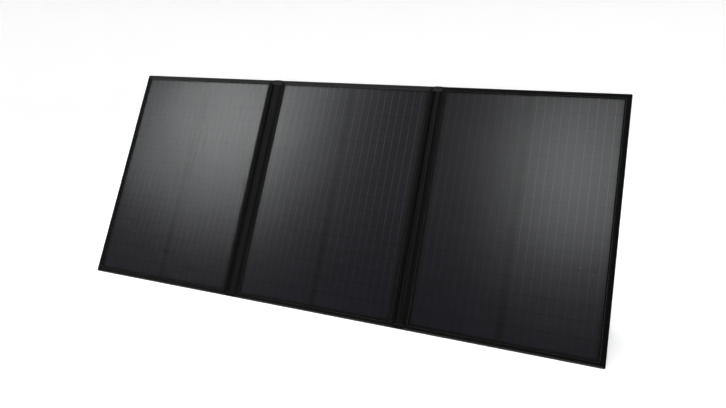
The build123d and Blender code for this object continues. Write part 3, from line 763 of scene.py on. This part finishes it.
def back_cloth(side):
    """The cloth of a section's back: drawn tight, with slight waves, under the binding."""
    mid = MID[side]
    cuts_x, cuts_s = CLOTH_CUTS
    rows = []
    for i in range(cuts_s + 1):
        row = []
        for j in range(cuts_x + 1):
            x = mid + CLOTH_W * (j / cuts_x - 0.5)
            s = PANEL_H / 2 + CLOTH_H * (i / cuts_s - 0.5)
            edge = min(CLOTH_W / 2 - abs(x - mid), CLOTH_H / 2 - abs(s - PANEL_H / 2))
            rise = clamp((edge - 6 * MM) / (10 * MM))
            rise = rise * rise * (3 - 2 * rise)
            spot = Vector((x, s, 0))
            wave = (wobble(spot, 0.05, 0.16) + wobble(spot, 0.018, 0.05)) * rise
            row.append(at(x, s, (CLOTH_EDGE_N - CLOTH_BULGE * rise + wave) * MM))
        rows.append(row)
    cloth = loft(f"{side}_back_cloth", rows, CLOTH, sharp=180)
    thicken(cloth, CLOTH_T, NORMAL)
    fix(cloth, "back_fabric", f"{side}_section", f"{side}_back_cover")


# ---- fold hinges ------------------------------------------------------------
# Front of the cloth across a gap: (share from the centre section's edge, height).
WIDE_GAP = (
    (0.0, -1.3), (0.03, -0.6), (0.08, -0.25), (0.16, -0.12), (0.3, -0.06), (0.42, -0.02), (0.5, 0.12),
    (0.58, -0.06), (0.68, -0.25), (0.74, -0.7), (0.79, -1.8), (0.84, -3.0), (0.89, -3.2), (0.94, -2.9),
    (0.98, -2.2), (1.0, -1.8),
)
NARROW_GAP = (
    (0.0, -2.2), (0.06, -3.0), (0.15, -3.3), (0.24, -3.2), (0.33, -2.6), (0.42, -1.4), (0.5, -0.7),
    (0.62, -0.3), (0.7, -0.12), (0.78, -0.1), (0.86, -0.12), (0.93, -0.2), (0.97, -0.5), (1.0, -1.2),
)
# The groove runs askew: its share is raised to a power, given here for the bottom and the top.
WIDE_SKEW = (2.4, 0.3)
NARROW_SKEW = (0.25, 1.5)
OVERHANG = 4 * MM         # how far the edging laps over the bindings beside it
EDGING_RISE = 1.2 * MM    # and how far the top one stands out past their edges
EDGING_CUTS = 22
# half width of the painted shade along a hinge cloth's groove
GROOVE_SHADE_HALF = 2 * MM
GAP_CUTS = 96
GAP_END = 2 * MM          # between the gap's cloth and the ends of the sections


def gap_cloth(side, line, profile):
    """Material of the cloth across a gap, with painted deep shade along its groove."""
    deepest = min(range(len(profile)), key=lambda i: profile[i][1])
    return woven(
        f"{side}_hinge_cloth", (0.0019, 0.0016, 0.00145), 0.9 * MM, roughness=0.55, sheen=0.005, gloss=0.08,
        painted_groove_shade=(running_length(line)[deepest], GROOVE_SHADE_HALF),
    )


def gap_rows(near, width, profile, skew):
    """Rows across the cloth of a gap: its front, with the groove, then its back."""
    rows = []
    for i in range(GAP_CUTS + 1):
        s = GAP_END + (PANEL_H - 2 * GAP_END) * i / GAP_CUTS
        power = skew[0] + (skew[1] - skew[0]) * i / GAP_CUTS
        row = []
        for share, height in profile:
            x = near + width * share ** power
            uneven = wobble(Vector((x * 2, s, 2)), 0.03, 0.18)
            row.append(at(x, s, (height + uneven) * MM))
        for share in (1.0, 0.8, 0.5, 0.2, 0.0):
            x = near + width * share
            bulge = 1 - (2 * share - 1) ** 2
            row.append(at(x, s, (-4.3 - 0.35 * bulge + wobble(Vector((x, s, 3)), 0.03, 0.15)) * MM))
        rows.append(row)
    return rows


def fold_gap(side, profile, skew):
    """The cloth between two sections, its two edgings and their stitches."""
    if side == "left":
        near, far = BINDING["centre"][0].x, BINDING["left"][1].x
    else:
        near, far = BINDING["centre"][1].x, BINDING["right"][0].x
    width = far - near
    start, end = at(near, PANEL_H / 2, -2 * MM), at(far, PANEL_H / 2, -2 * MM)

    def bend(piece, *replaced):
        if replaced:
            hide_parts(*replaced)
        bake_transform(piece)
        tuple(start)
        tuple(end)

    rows = gap_rows(near, width, profile, skew)
    material = gap_cloth(side, rows[GAP_CUTS // 2][:len(profile)], profile)
    cloth = tube(f"{side}_fold_cloth", rows, material)
    bend(cloth, f"{side}_fold_hinge", f"{side}_link_leads")

    seams = []
    lap = OVERHANG if far > near else -OVERHANG
    columns = [near - lap + (width + 2 * lap) * k / EDGING_CUTS for k in range(EDGING_CUTS + 1)]
    edges = (("bottom", 0.0, 1, 0, LOW_TAPE), ("top", PANEL_H, -1, EDGING_RISE, TOP_TAPE))
    for tag, edge, inward, rise, material in edges:
        outer = [
            Vector((x, edge + rise * math.sin(math.pi * k / EDGING_CUTS))) for k, x in enumerate(columns)
        ]
        front = [Vector((x, edge + inward * LIP_END)) for x in columns]
        back = [Vector((x, edge + inward * BACK_LIP)) for x in columns]
        rows = binding_rows(outer, front, back, 0.06 * MM, -PANEL_T - 0.06 * MM, at)
        edging = tube(f"{side}_fold_{tag}_edging", rows, material)
        bend(edging, f"{side}_fold_hinge")
        seams.append(seam_line(outer, front, at, 0.1 * MM, NORMAL))
        seams.append(seam_line(outer, back, at, -PANEL_T - 0.1 * MM, -NORMAL))
    bend(stitching(f"{side}_fold_stitches", seams))


# ---- kickstands -------------------------------------------------------------
STAND_W = 200 * MM
STAND_TOP = 1 * MM
STAND_IN = 0.6 * MM       # depth of the board's inner face, from the hinge axis
STAND_OUT = 5.6 * MM
FOOT_FROM = 314.7 * MM
STAND_LIP = 9 * MM
COVER_INSET = 4 * MM      # how far the cover's edge lies inside the tape's
COVER_CUTS = (40, 60)


def stand_tape(side):
    """The bound edge of a kickstand, on three sides."""
    mid = MID[side]

    def place(x, along, n):
        return on_leg(x, along, -n)

    def arch(inset, radius):
        left, right = mid - STAND_W / 2 + inset, mid + STAND_W / 2 - inset
        top = STAND_TOP + inset
        corners = [Vector(c) for c in ((left, FOOT_FROM), (left, top), (right, top), (right, FOOT_FROM))]
        return rounded_path(corners, radius, 6, (30, 20, 30, 1), closed=False)

    outer, inner = arch(0, 5 * MM), arch(STAND_LIP, 1 * MM)
    rows = binding_rows(outer, inner, inner, -STAND_IN, -STAND_OUT, place)
    tape = tube(f"{side}_kickstand_tape", rows, TAPE)
    fix(tape, "back_fabric", f"{side}_kickstand")
    return [
        seam_line(outer, inner, place, -STAND_IN + 0.02 * MM, -LEG_OUT),
        seam_line(outer, inner, place, -STAND_OUT - 0.02 * MM, LEG_OUT),
    ]


def kick_cover(side):
    """Kickstand: cloth over the board, with its bound edge."""
    mid = MID[side]
    seams = stand_tape(side)
    rows = []
    cuts_x, cuts_s = COVER_CUTS
    left, right = mid - STAND_W / 2 + COVER_INSET, mid + STAND_W / 2 - COVER_INSET
    top = STAND_TOP + COVER_INSET
    for i in range(cuts_s + 1):
        along = top + (FOOT_FROM - top) * i / cuts_s
        row = []
        for face, out in ((STAND_IN, 1), (STAND_OUT, -1)):
            for j in range(cuts_x + 1):
                share = j / cuts_x if out == 1 else 1 - j / cuts_x
                x = left + (right - left) * share
                edge = min(x - left, right - x, along - top)
                rise = clamp((edge - 4 * MM) / (8 * MM))
                wave = wobble(Vector((x, along, face * 400)), 0.04, 0.14) * rise
                row.append(on_leg(x, along, face + out * (0.75 - 0.5 * rise + wave) * MM))
        rows.append(row)
    cover = tube(f"{side}_kickstand_cover", rows, CLOTH)
    fix(cover, "back_fabric", f"{side}_kickstand", f"{side}_stand_cover")
    sew(f"{side}_kickstand_stitches", seams, "back_fabric", f"{side}_kickstand")


# The middle of the hinge cloth, in mm: (s, depth behind the back), then (along, depth) on the kickstand.
PATCH_ON_BACK = ((379, 0.5), (370, 0.55), (364.5, 0.6))
PATCH_ON_LEG = ((-0.6, 2.6), (3.4, 5.9), (9, 6.25), (15, 6.2))
PATCH_CUTS = 40
PATCH_HALF_T = 0.4 * MM


def kick_hinge(side):
    """The cloth that hangs a kickstand on the back, sewn down above its axis."""
    mid = MID[side]
    depth = -PANEL_T
    places = [at(0, s * MM, depth - n * MM) for s, n in PATCH_ON_BACK]
    places += [on_leg(0, along * MM, out * MM) for along, out in PATCH_ON_LEG]
    line = smooth_line(places, 5)
    rows = []
    for i in range(PATCH_CUTS + 1):
        x = mid - STAND_W / 2 + 1 * MM + (STAND_W - 2 * MM) * i / PATCH_CUTS
        row = []
        for face, order in ((1, line), (-1, line[::-1])):
            for k, point in enumerate(order):
                uneven = wobble(Vector((x, point.y, point.z)), 0.02, 0.16 * MM)
                row.append(point + X * x + X.cross(direction_at(order, k)) * (PATCH_HALF_T + uneven * face))
        rows.append(row)
    cloth = tube(f"{side}_kickstand_hinge_cloth", rows, CLOTH)
    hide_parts(f"{side}_stand_hinge_patch")
    start, end = at(mid, 366 * MM, depth), on_leg(mid, 6 * MM, 3 * MM)
    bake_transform(cloth)
    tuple(start)
    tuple(end)

    half = STAND_W / 2 - 4 * MM
    seams = [
        [(at(mid + x, s, depth - 1 * MM), -NORMAL) for x in (-half, 0, half)] for s in (376 * MM, 369 * MM)
    ]
    sew(f"{side}_hinge_patch_stitches", seams, "back_fabric", f"{side}_section")
    seam = [(on_leg(mid + x, 12 * MM, 6.65 * MM), LEG_OUT) for x in (-half, 0, half)]
    sew(f"{side}_hinge_flap_stitches", [seam], "back_fabric", f"{side}_kickstand")


STRAP_X = 70 * MM
STRAP_W = 20 * MM
STRAP_T = 1.2 * MM
STRAP_PANEL_S = 110 * MM
STRAP_ALONG = 210 * MM
STRAP_TAB = 15 * MM
STRAP_CUTS = 14


def limit_straps(side):
    """Webbing that stops the kickstand, sewn down at both ends."""
    mid = MID[side]
    depth = -PANEL_T - STRAP_T * 0.55
    inner = STAND_IN - STRAP_T * 0.55
    flat_on = at(mid, STRAP_PANEL_S, -PANEL_T - 0.2 * MM)

    def flatten(piece):
        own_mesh(piece)

    panel_seams, board_seams = [], []
    for tag, x in (("left", mid - STRAP_X), ("right", mid + STRAP_X)):
        low_end, high_end = at(x, STRAP_PANEL_S, depth), on_leg(x, STRAP_ALONG, inner)
        shares = [0.03] + [k / STRAP_CUTS for k in range(1, STRAP_CUTS)] + [0.97]
        corners = [
            at(x, STRAP_PANEL_S - STRAP_TAB, depth),
            at(x, STRAP_PANEL_S - STRAP_TAB / 2, depth),
            at(x, STRAP_PANEL_S - 1 * MM, depth - 0.1 * MM),
            *[low_end.lerp(high_end, share) for share in shares],
            on_leg(x, STRAP_ALONG + 1 * MM, inner - 0.1 * MM),
            on_leg(x, STRAP_ALONG + STRAP_TAB / 2, inner),
            on_leg(x, STRAP_ALONG + STRAP_TAB, inner),
        ]
        name = f"{side}_limit_strap_{tag}"
        strap = sweep_band(name, smooth_line(corners, 3), X, STRAP_T, STRAP_W, WEBBING, ribs=4)
        replaced = [f"{side}_limit_straps"] if tag == "left" else []
        fix(strap, "webbing", f"{side}_section", *replaced)
        flatten(strap)
        low, high = STRAP_PANEL_S - STRAP_TAB + 2 * MM, STRAP_PANEL_S - 2 * MM
        n = -PANEL_T - 1.35 * MM
        panel_seams += box_seam(lambda u, v: at(x + u, v, n), 8 * MM, low, high, -NORMAL)
        low, high = STRAP_ALONG + 2 * MM, STRAP_ALONG + STRAP_TAB - 2 * MM
        n = STAND_IN - 1.35 * MM
        board_seams += box_seam(lambda u, v: on_leg(x + u, v, n), 8 * MM, low, high, -LEG_OUT)
    for name, seams in (("strap_stitches", panel_seams), ("strap_board_stitches", board_seams)):
        flatten(sew(f"{side}_{name}", seams, "webbing", f"{side}_section", 3.6 * MM))


def box_seam(place, half, low, high, out):
    """A sewn box with a cross in it."""
    corners = [(-half, low), (half, low), (half, high), (-half, high), (-half, low), (half, high)]
    seams = [[(place(*a), out), (place(*b), out)] for a, b in zip(corners, corners[1:])]
    seams.append([(place(half, low), out), (place(-half, high), out)])
    return seams


# ---- carry handles ----------------------------------------------------------
HANDLE_S = 560 * MM
HANDLE_DEPTH = 2.8 * MM
HANDLE_X = 62 * MM
HANDLE_DROP = 62 * MM
HANDLE_BEND = 21 * MM
HANDLE_BAND = 24.5 * MM
HANDLE_T = 2.024 * MM
GRIP_HALF = Vector((42, 3.3, 12.8)) * MM
GRIP_CUTS = 30
GRIP_SIDES = 24
GRIP_SEAM = 0.92          # share of its length that the seam takes
GRIP_SEAM_CUTS = 20
ANCHOR_LOW = 532 * MM
ANCHOR_W = 30 * MM
ANCHOR_T = 1.1 * MM
ANCHOR_ROLL = 2.3 * MM    # radius of its turn round the strap


def handle(side):
    """A carry handle: its webbing, its padded sleeve and the anchors that hold it."""
    top = at(MID[side], HANDLE_S, -PANEL_T - HANDLE_DEPTH)
    drops = ((-HANDLE_X, 0), (-HANDLE_X, -HANDLE_DROP), (HANDLE_X, -HANDLE_DROP), (HANDLE_X, 0))
    path = rounded_path([Vector(drop) for drop in drops], HANDLE_BEND, 12, (6, 10, 6, 1), closed=False)
    line = [top + X * p.x - DOWN * p.y for p in path]
    across = [direction_at(line, i).cross(BACK) for i in range(len(line))]
    strap = sweep_band(f"{side}_handle_webbing", line, across, HANDLE_T, HANDLE_BAND, WEBBING, ribs=4)
    fix(strap, "webbing", f"{side}_handle", f"{side}_handle_strap")
    grip(side, top + DOWN * HANDLE_DROP)
    anchors(side)


def grip(side, centre):
    """The padded sleeve of a handle, with its seam."""
    rows = []
    for i in range(GRIP_CUTS + 1):
        t = -1 + 2 * i / GRIP_CUTS
        size = 0.55 + 0.45 * (1 - abs(t) ** 8) ** 0.5
        row = []
        for k in range(GRIP_SIDES):
            turn = 2 * math.pi * k / GRIP_SIDES
            c, s = math.cos(turn), math.sin(turn)
            y = GRIP_HALF.y * size * math.copysign(abs(c) ** 0.7, c)
            z = GRIP_HALF.z * size * math.copysign(abs(s) ** 0.6, s)
            row.append(centre + Vector((t * GRIP_HALF.x, y, z)))
        rows.append(row)
    pad = tube(f"{side}_handle_pad", rows, PAD_CLOTH, sharp=180)
    inflate(pad, voxel=2.4 * MM, pressure=3.0, limit=1.6 * MM)
    box_uv(pad, (X, BACK, DOWN))
    fix(pad, "grip_padding", f"{side}_handle", f"{side}_handle_grip")
    seam = []
    for k in range(GRIP_SEAM_CUTS + 1):
        spot = centre + X * (GRIP_HALF.x * GRIP_SEAM * (2 * k / GRIP_SEAM_CUTS - 1))
        seam.append((spot + BACK * height_at(pad, spot.x), BACK))
    sew(f"{side}_handle_pad_seam", [seam], "grip_padding", f"{side}_handle", 4 * MM)


def height_at(piece, x):
    """How far a piece reaches to the back from its own middle, at a given x."""
    points = [vertex.co for vertex in piece.data.vertices]
    middle = sum(points, Vector()) / len(points)
    return max((point - middle).dot(BACK) for point in points if abs(point.x - x) < 3 * MM)


def anchors(side):
    """Webbing sewn to the back, whose end goes round the top of the strap."""
    back = -PANEL_T
    seams = []
    for tag, x in (("left", MID[side] - HANDLE_X), ("right", MID[side] + HANDLE_X)):
        line = [at(x, ANCHOR_LOW + k * 4.4 * MM, back - 0.62 * MM) for k in range(6)]
        for k in range(11):
            turn = math.radians(120 - 27 * k)
            n = back - HANDLE_DEPTH + ANCHOR_ROLL * math.cos(turn)
            line.append(at(x, HANDLE_S + ANCHOR_ROLL * math.sin(turn), n))
        line += [at(x, HANDLE_S - 5 * MM, back - 2 * MM), at(x, HANDLE_S - 9 * MM, back - 1.85 * MM)]
        name = f"{side}_handle_anchor_{tag}"
        anchor = sweep_band(name, smooth_line(line, 2), X, ANCHOR_T, ANCHOR_W, WEBBING, ribs=5)
        fix(anchor, "webbing", f"{side}_section", *([f"{side}_handle_anchors"] if tag == "left" else []))
        low, high = ANCHOR_LOW + 2.5 * MM, HANDLE_S - 12 * MM
        seams += box_seam(lambda u, v: at(x + u, v, back - 1.3 * MM), 12 * MM, low, high, -NORMAL)
    sew(f"{side}_handle_anchor_stitches", seams, "webbing", f"{side}_section", 3.8 * MM)


# ---- cloth simulation -------------------------------------------------------
CLOTH_FRAMES = 20


def remesh(piece, voxel):
    modifier = piece.modifiers.new("remesh", "REMESH")
    modifier.mode = "VOXEL"
    modifier.voxel_size = voxel
    apply_modifiers(piece)


def inflate(piece, voxel, pressure, limit):
    """Remeshes a closed piece and lets cloth pressure fill it, moving no point more than `limit`."""
    remesh(piece, voxel)
    before = [vertex.co.copy() for vertex in piece.data.vertices]
    settings = piece.modifiers.new("cloth", "CLOTH").settings
    settings.quality = 5
    settings.mass = 0.3
    settings.tension_stiffness = 15
    settings.compression_stiffness = 15
    settings.shear_stiffness = 5
    settings.bending_stiffness = 0.5
    settings.use_pressure = True
    settings.uniform_pressure_force = pressure
    settings.effector_weights.gravity = 0
    scene = bpy.context.scene
    scene.frame_start, scene.frame_end = 1, CLOTH_FRAMES
    for step in range(1, CLOTH_FRAMES + 1):
        scene.frame_set(step)
    apply_modifiers(piece)
    scene.frame_set(1)
    for vertex, rest in zip(piece.data.vertices, before):
        moved = vertex.co - rest
        if moved.length > limit:
            vertex.co = rest + moved.normalized() * limit
    piece.modifiers.new("smooth", "SUBSURF").levels = 1
    apply_modifiers(piece)
    piece.data.polygons.foreach_set("use_smooth", [True] * len(piece.data.polygons))


def box_uv(piece, directions):
    """UVs in metres, each face laid flat along the two directions that it faces least."""
    mesh = piece.data
    layer = mesh.uv_layers.get("weave") or mesh.uv_layers.new(name="weave")
    for polygon in mesh.polygons:
        facing = max(range(3), key=lambda i: abs(polygon.normal.dot(directions[i])))
        u, v = [directions[i] for i in range(3) if i != facing]
        for index in polygon.loop_indices:
            point = mesh.vertices[mesh.loops[index].vertex_index].co
            layer.data[index].uv = (point.dot(u), point.dot(v))


# ---- pocket -----------------------------------------------------------------
POCKET_X = MID["centre"]
POCKET_S = 429 * MM
POCKET_W = 300 * MM
POCKET_H = 96 * MM
POCKET_T = 18 * MM
POCKET_FACE = -PANEL_T - POCKET_T
# The bag's shape before it is filled: (depth, how far inside its edge), in mm.
BAG_PROFILE = ((0, 2), (4, 2.2), (8, 2.6), (11.5, 3.6), (14, 5.6), (15.6, 9), (16.2, 14))
# The hem's: (how far inside the pocket's edge, height over the back), in mm.
HEM_PROFILE = ((3.0, 0.0), (2.6, 0.7), (0.5, 1.25), (-2.5, 1.05), (-5.2, 0.95), (-6.2, 0.55), (-6.4, 0.0))
HEM_SEAM = -3.6           # where the hem's seam runs, measured the same way
ZIP_S = 460 * MM
ZIP_L = 236 * MM
ZIP_TAPE_W = 20 * MM
ZIP_TAPE_HALF = ZIP_L / 2 + 6 * MM
ZIP_SEAM = 7.5 * MM       # from the coil to each row of stitches
TOOTH_PITCH = 1.5 * MM
TOOTH_SIDES = 6
TOOTH_SPINE = 5


def pocket_ring(inset, radius, steps):
    """Points round the pocket, inset from its edge. Inset and radius are in mm."""
    half_x, half_s = POCKET_W / 2 - inset * MM, POCKET_H / 2 - inset * MM
    return rounded_box(POCKET_X, POCKET_S, half_x, half_s, radius * MM, steps, (40, 12))


def pocket():
    """The cable pocket: a bag of cloth, filled by simulation, flat only along its zip."""
    rows = []
    for depth, inset in BAG_PROFILE:
        rows.append([at(*point, -PANEL_T - depth * MM) for point in pocket_ring(inset, 13, 6)])
    bag = tube("cable_pocket", rows, CLOTH, sharp=180)
    inflate(bag, voxel=3.6 * MM, pressure=2.2, limit=5 * MM)
    settle_pocket(bag)
    box_uv(bag, (X, UP, NORMAL))
    fix(bag, "pocket_fabric", "centre_section", "pocket_shell")
    pocket_hem()
    pocket_zip()


def settle_pocket(bag):
    """Holds the pocket to the back, lets its lower part sag, and keeps its zip straight."""
    for vertex in bag.data.vertices:
        way = vertex.co - ORIGIN
        x, s, depth = way.x - POCKET_X, way.dot(UP), -way.dot(NORMAL) - PANEL_T
        share = clamp(depth / POCKET_T)
        low = clamp((ZIP_S - s) / (60 * MM))
        sag = 2.2 * MM * share * low * (1 - (x / (POCKET_W / 2)) ** 2)
        crease = wobble(Vector((x * 0.6, s, 5)), 0.022, 0.9 * MM) * share
        depth = max(0.2 * MM, depth + sag * 0.6 + crease)
        if depth > 8 * MM:
            near_zip = clamp(1 - (abs(s - ZIP_S) - 9 * MM) / (8 * MM))
            near_zip *= clamp((POCKET_W / 2 - 14 * MM - abs(x)) / (12 * MM))
            depth = depth * (1 - near_zip) + (POCKET_T - 0.3 * MM) * near_zip
        vertex.co = at(way.x, s - sag, -PANEL_T - depth)
    bag.data.update()


def pocket_hem():
    """Flat hem where the pocket is sewn to the back, with its stitches."""
    rings = [pocket_ring(inset, 14 - inset, 8) for inset, _ in HEM_PROFILE]
    rows = []
    for points in zip(*rings):
        rows.append([at(*point, -PANEL_T - height * MM) for point, (_, height) in zip(points, HEM_PROFILE)])
    hem = loft("cable_pocket_hem", rows, TAPE, close_rows=True, close_columns=True)
    fix(hem, "pocket_fabric", "centre_section")
    seam = [(at(*point, -PANEL_T - 1.2 * MM), -NORMAL) for point in pocket_ring(HEM_SEAM, 14 - HEM_SEAM, 8)]
    sew("cable_pocket_stitches", [seam + seam[:1]], "pocket_fabric", "centre_section", 4.2 * MM)


def pocket_zip():
    """Zip tape with its coil and stitches."""
    left = POCKET_X - ZIP_TAPE_HALF
    line = [at(left + 2 * ZIP_TAPE_HALF * k / 60, ZIP_S, POCKET_FACE - 0.3 * MM) for k in range(61)]
    tape = sweep_band("pocket_zip_tape", line, UP, 0.7 * MM, ZIP_TAPE_W, ZIP_CLOTH, ribs=2)
    fix(tape, "zip_tape", "centre_section", "pocket_zip")

    vertices, faces = [], []
    for k in range(int(ZIP_L / TOOTH_PITCH)):
        x = POCKET_X - ZIP_L / 2 + (k + 0.5) * TOOTH_PITCH
        new = tooth(x, 1 if k % 2 else -1, len(vertices))
        vertices += new[0]
        faces += new[1]
    fix(mesh_from("pocket_zip_coil", vertices, faces, TEETH), "zip_tape", "centre_section")

    seams = []
    for s in (ZIP_S - ZIP_SEAM, ZIP_S + ZIP_SEAM):
        spots = (-ZIP_TAPE_HALF, 0, ZIP_TAPE_HALF)
        seams.append([(at(POCKET_X + x, s, POCKET_FACE - 0.75 * MM), -NORMAL) for x in spots])
    sew("pocket_zip_stitches", seams, "zip_tape", "centre_section", 3.4 * MM)


def tooth(x, lean, base):
    """One turn of the coil, as vertices and faces whose numbers start at `base`."""
    vertices, faces = [], []
    for i in range(TOOTH_SPINE):
        t = i / (TOOTH_SPINE - 1)
        s = ZIP_S + lean * (2.3 - 3.1 * t) * MM
        lift = 0.75 + 0.75 * math.sin(math.pi * (0.15 + 0.75 * t))
        size = 0.5 if i in (0, TOOTH_SPINE - 1) else 0.62
        for m in range(TOOTH_SIDES):
            turn = 2 * math.pi * m / TOOTH_SIDES
            out = math.sin(turn) * size * 0.9 * MM
            vertices.append(at(x + math.cos(turn) * size * MM, s, POCKET_FACE - lift * MM - out))
    for i in range(TOOTH_SPINE - 1):
        low = base + i * TOOTH_SIDES
        for m in range(TOOTH_SIDES):
            a, b = low + m, low + (m + 1) % TOOTH_SIDES
            faces.append((a, b, b + TOOTH_SIDES, a + TOOTH_SIDES))
    faces.append(tuple(base + m for m in reversed(range(TOOTH_SIDES))))
    faces.append(tuple(base + (TOOTH_SPINE - 1) * TOOTH_SIDES + m for m in range(TOOTH_SIDES)))
    return vertices, faces


# ---- floor, light and camera ------------------------------------------------
FLOOR_STEPS = 64
FLOOR_PROFILE = ((0.0, 0.0), (2.0, 0.0), (4.2, 0.0), (5.2, 0.1), (6.0, 0.4), (6.6, 0.9), (7.0, 1.7))
SKY = (                   # brightness of the room by the sine of the elevation: walls, then ceiling
    (0.1, 0.26, 1.0, 0.05),
    (0.9, 0.97, 0.0, 4.5),
)
LIGHT_DISTANCE = 2.4
LIGHT_TONE = (0.965, 1.0, 0.985)
LIGHTS = (
    # name, direction from the panel, size, radiance
    ("softbox_left", (-0.569, -0.407, 0.715), (0.62, 1.19), 4.5),
    ("softbox_far_left", (-0.656, -0.498, 0.568), (0.77, 0.98), 4.0),
    ("softbox_right", (0.239, -0.638, 0.732), (0.72, 0.87), 5.9),
    ("softbox_behind", (-0.51, 0.61, 0.61), (0.6, 0.6), 14.0),
)
AREA_POWER = 4            # watts of an area light for one unit of radiance and area

CAMERA_AT = (0.539, -1.197, 0.640)
CAMERA_AZIMUTH = -21.06   # degrees from +Y towards +X
CAMERA_ELEVATION = -17.77
CAMERA_LENS = 27.75
CAMERA_SENSOR = 36


def studio_floor():
    """A white floor that rises far away, which makes the background."""
    rows = []
    for k in range(FLOOR_STEPS + 1):
        turn = 2 * math.pi * k / FLOOR_STEPS
        spoke = Vector((math.cos(turn), math.sin(turn), 0))
        rows.append([spoke * radius + Vector((0, 0, height)) for radius, height in FLOOR_PROFILE])
    glow = {"emission_color": (1, 1, 1, 1), "emission_strength": 0.3}
    recipe = Recipe("studio_floor", (0.93, 0.93, 0.93), 0.9, **glow)
    recipe.colour(recipe.ramp(recipe.noise(3, 2), (0.3, 0.92), (0.7, 0.94)))
    loft("floor", rows, recipe.material)


def room():
    """The brightness of the surroundings, by elevation."""
    world = bpy.data.worlds.new("studio")
    bpy.context.scene.world = world
    world.use_nodes = True
    nodes, links = world.node_tree.nodes, world.node_tree.links
    split = nodes.new("ShaderNodeSeparateXYZ")
    links.new(nodes.new("ShaderNodeTexCoord").outputs["Generated"], split.inputs[0])
    total = nodes.new("ShaderNodeMath")
    for k, limits in enumerate(SKY):
        zone = nodes.new("ShaderNodeMapRange")
        zone.interpolation_type = "SMOOTHSTEP"
        links.new(split.outputs["Z"], zone.inputs["Value"])
        for socket, value in zip(("From Min", "From Max", "To Min", "To Max"), limits):
            zone.inputs[socket].default_value = value
        links.new(zone.outputs["Result"], total.inputs[k])
    background = nodes["Background"]
    background.inputs["Color"].default_value = (1, 1, 1, 1)
    links.new(total.outputs[0], background.inputs["Strength"])


def stand_at(name, data, place, back):
    """Puts a lamp or camera in the scene, its back turned towards `back`."""
    found = bpy.data.objects.new(name, data)
    bpy.context.scene.collection.objects.link(found)
    found.location = place
    found.rotation_mode = "QUATERNION"
    found.rotation_quaternion = back.to_track_quat("Z", "Y")
    return found


def lamps():
    target = at(0, PANEL_H / 2, 0)
    for name, towards, size, radiance in LIGHTS:
        data = bpy.data.lights.new(name, "AREA")
        data.shape = "RECTANGLE"
        data.size, data.size_y = size
        data.color = LIGHT_TONE
        data.energy = AREA_POWER * size[0] * size[1] * radiance
        way = Vector(towards).normalized()
        stand_at(name, data, target + way * LIGHT_DISTANCE, way)


def camera():
    data = bpy.data.cameras.new("camera")
    data.lens = CAMERA_LENS
    data.sensor_width = CAMERA_SENSOR
    azimuth, elevation = math.radians(CAMERA_AZIMUTH), math.radians(CAMERA_ELEVATION)
    level = math.cos(elevation)
    forward = Vector((math.sin(azimuth) * level, math.cos(azimuth) * level, math.sin(elevation)))
    scene = bpy.context.scene
    scene.camera = stand_at("camera", data, CAMERA_AT, -forward)
    scene.view_settings.view_transform = "Standard"


camera()
studio_floor()
room()
lamps()
dress_nodes()
for side in SIDES:
    section_binding(side)
    back_cloth(side)
    kick_cover(side)
    kick_hinge(side)
    limit_straps(side)
fold_gap("left", WIDE_GAP, WIDE_SKEW)
fold_gap("right", NARROW_GAP, NARROW_SKEW)
handle("left")
handle("centre")
pocket()
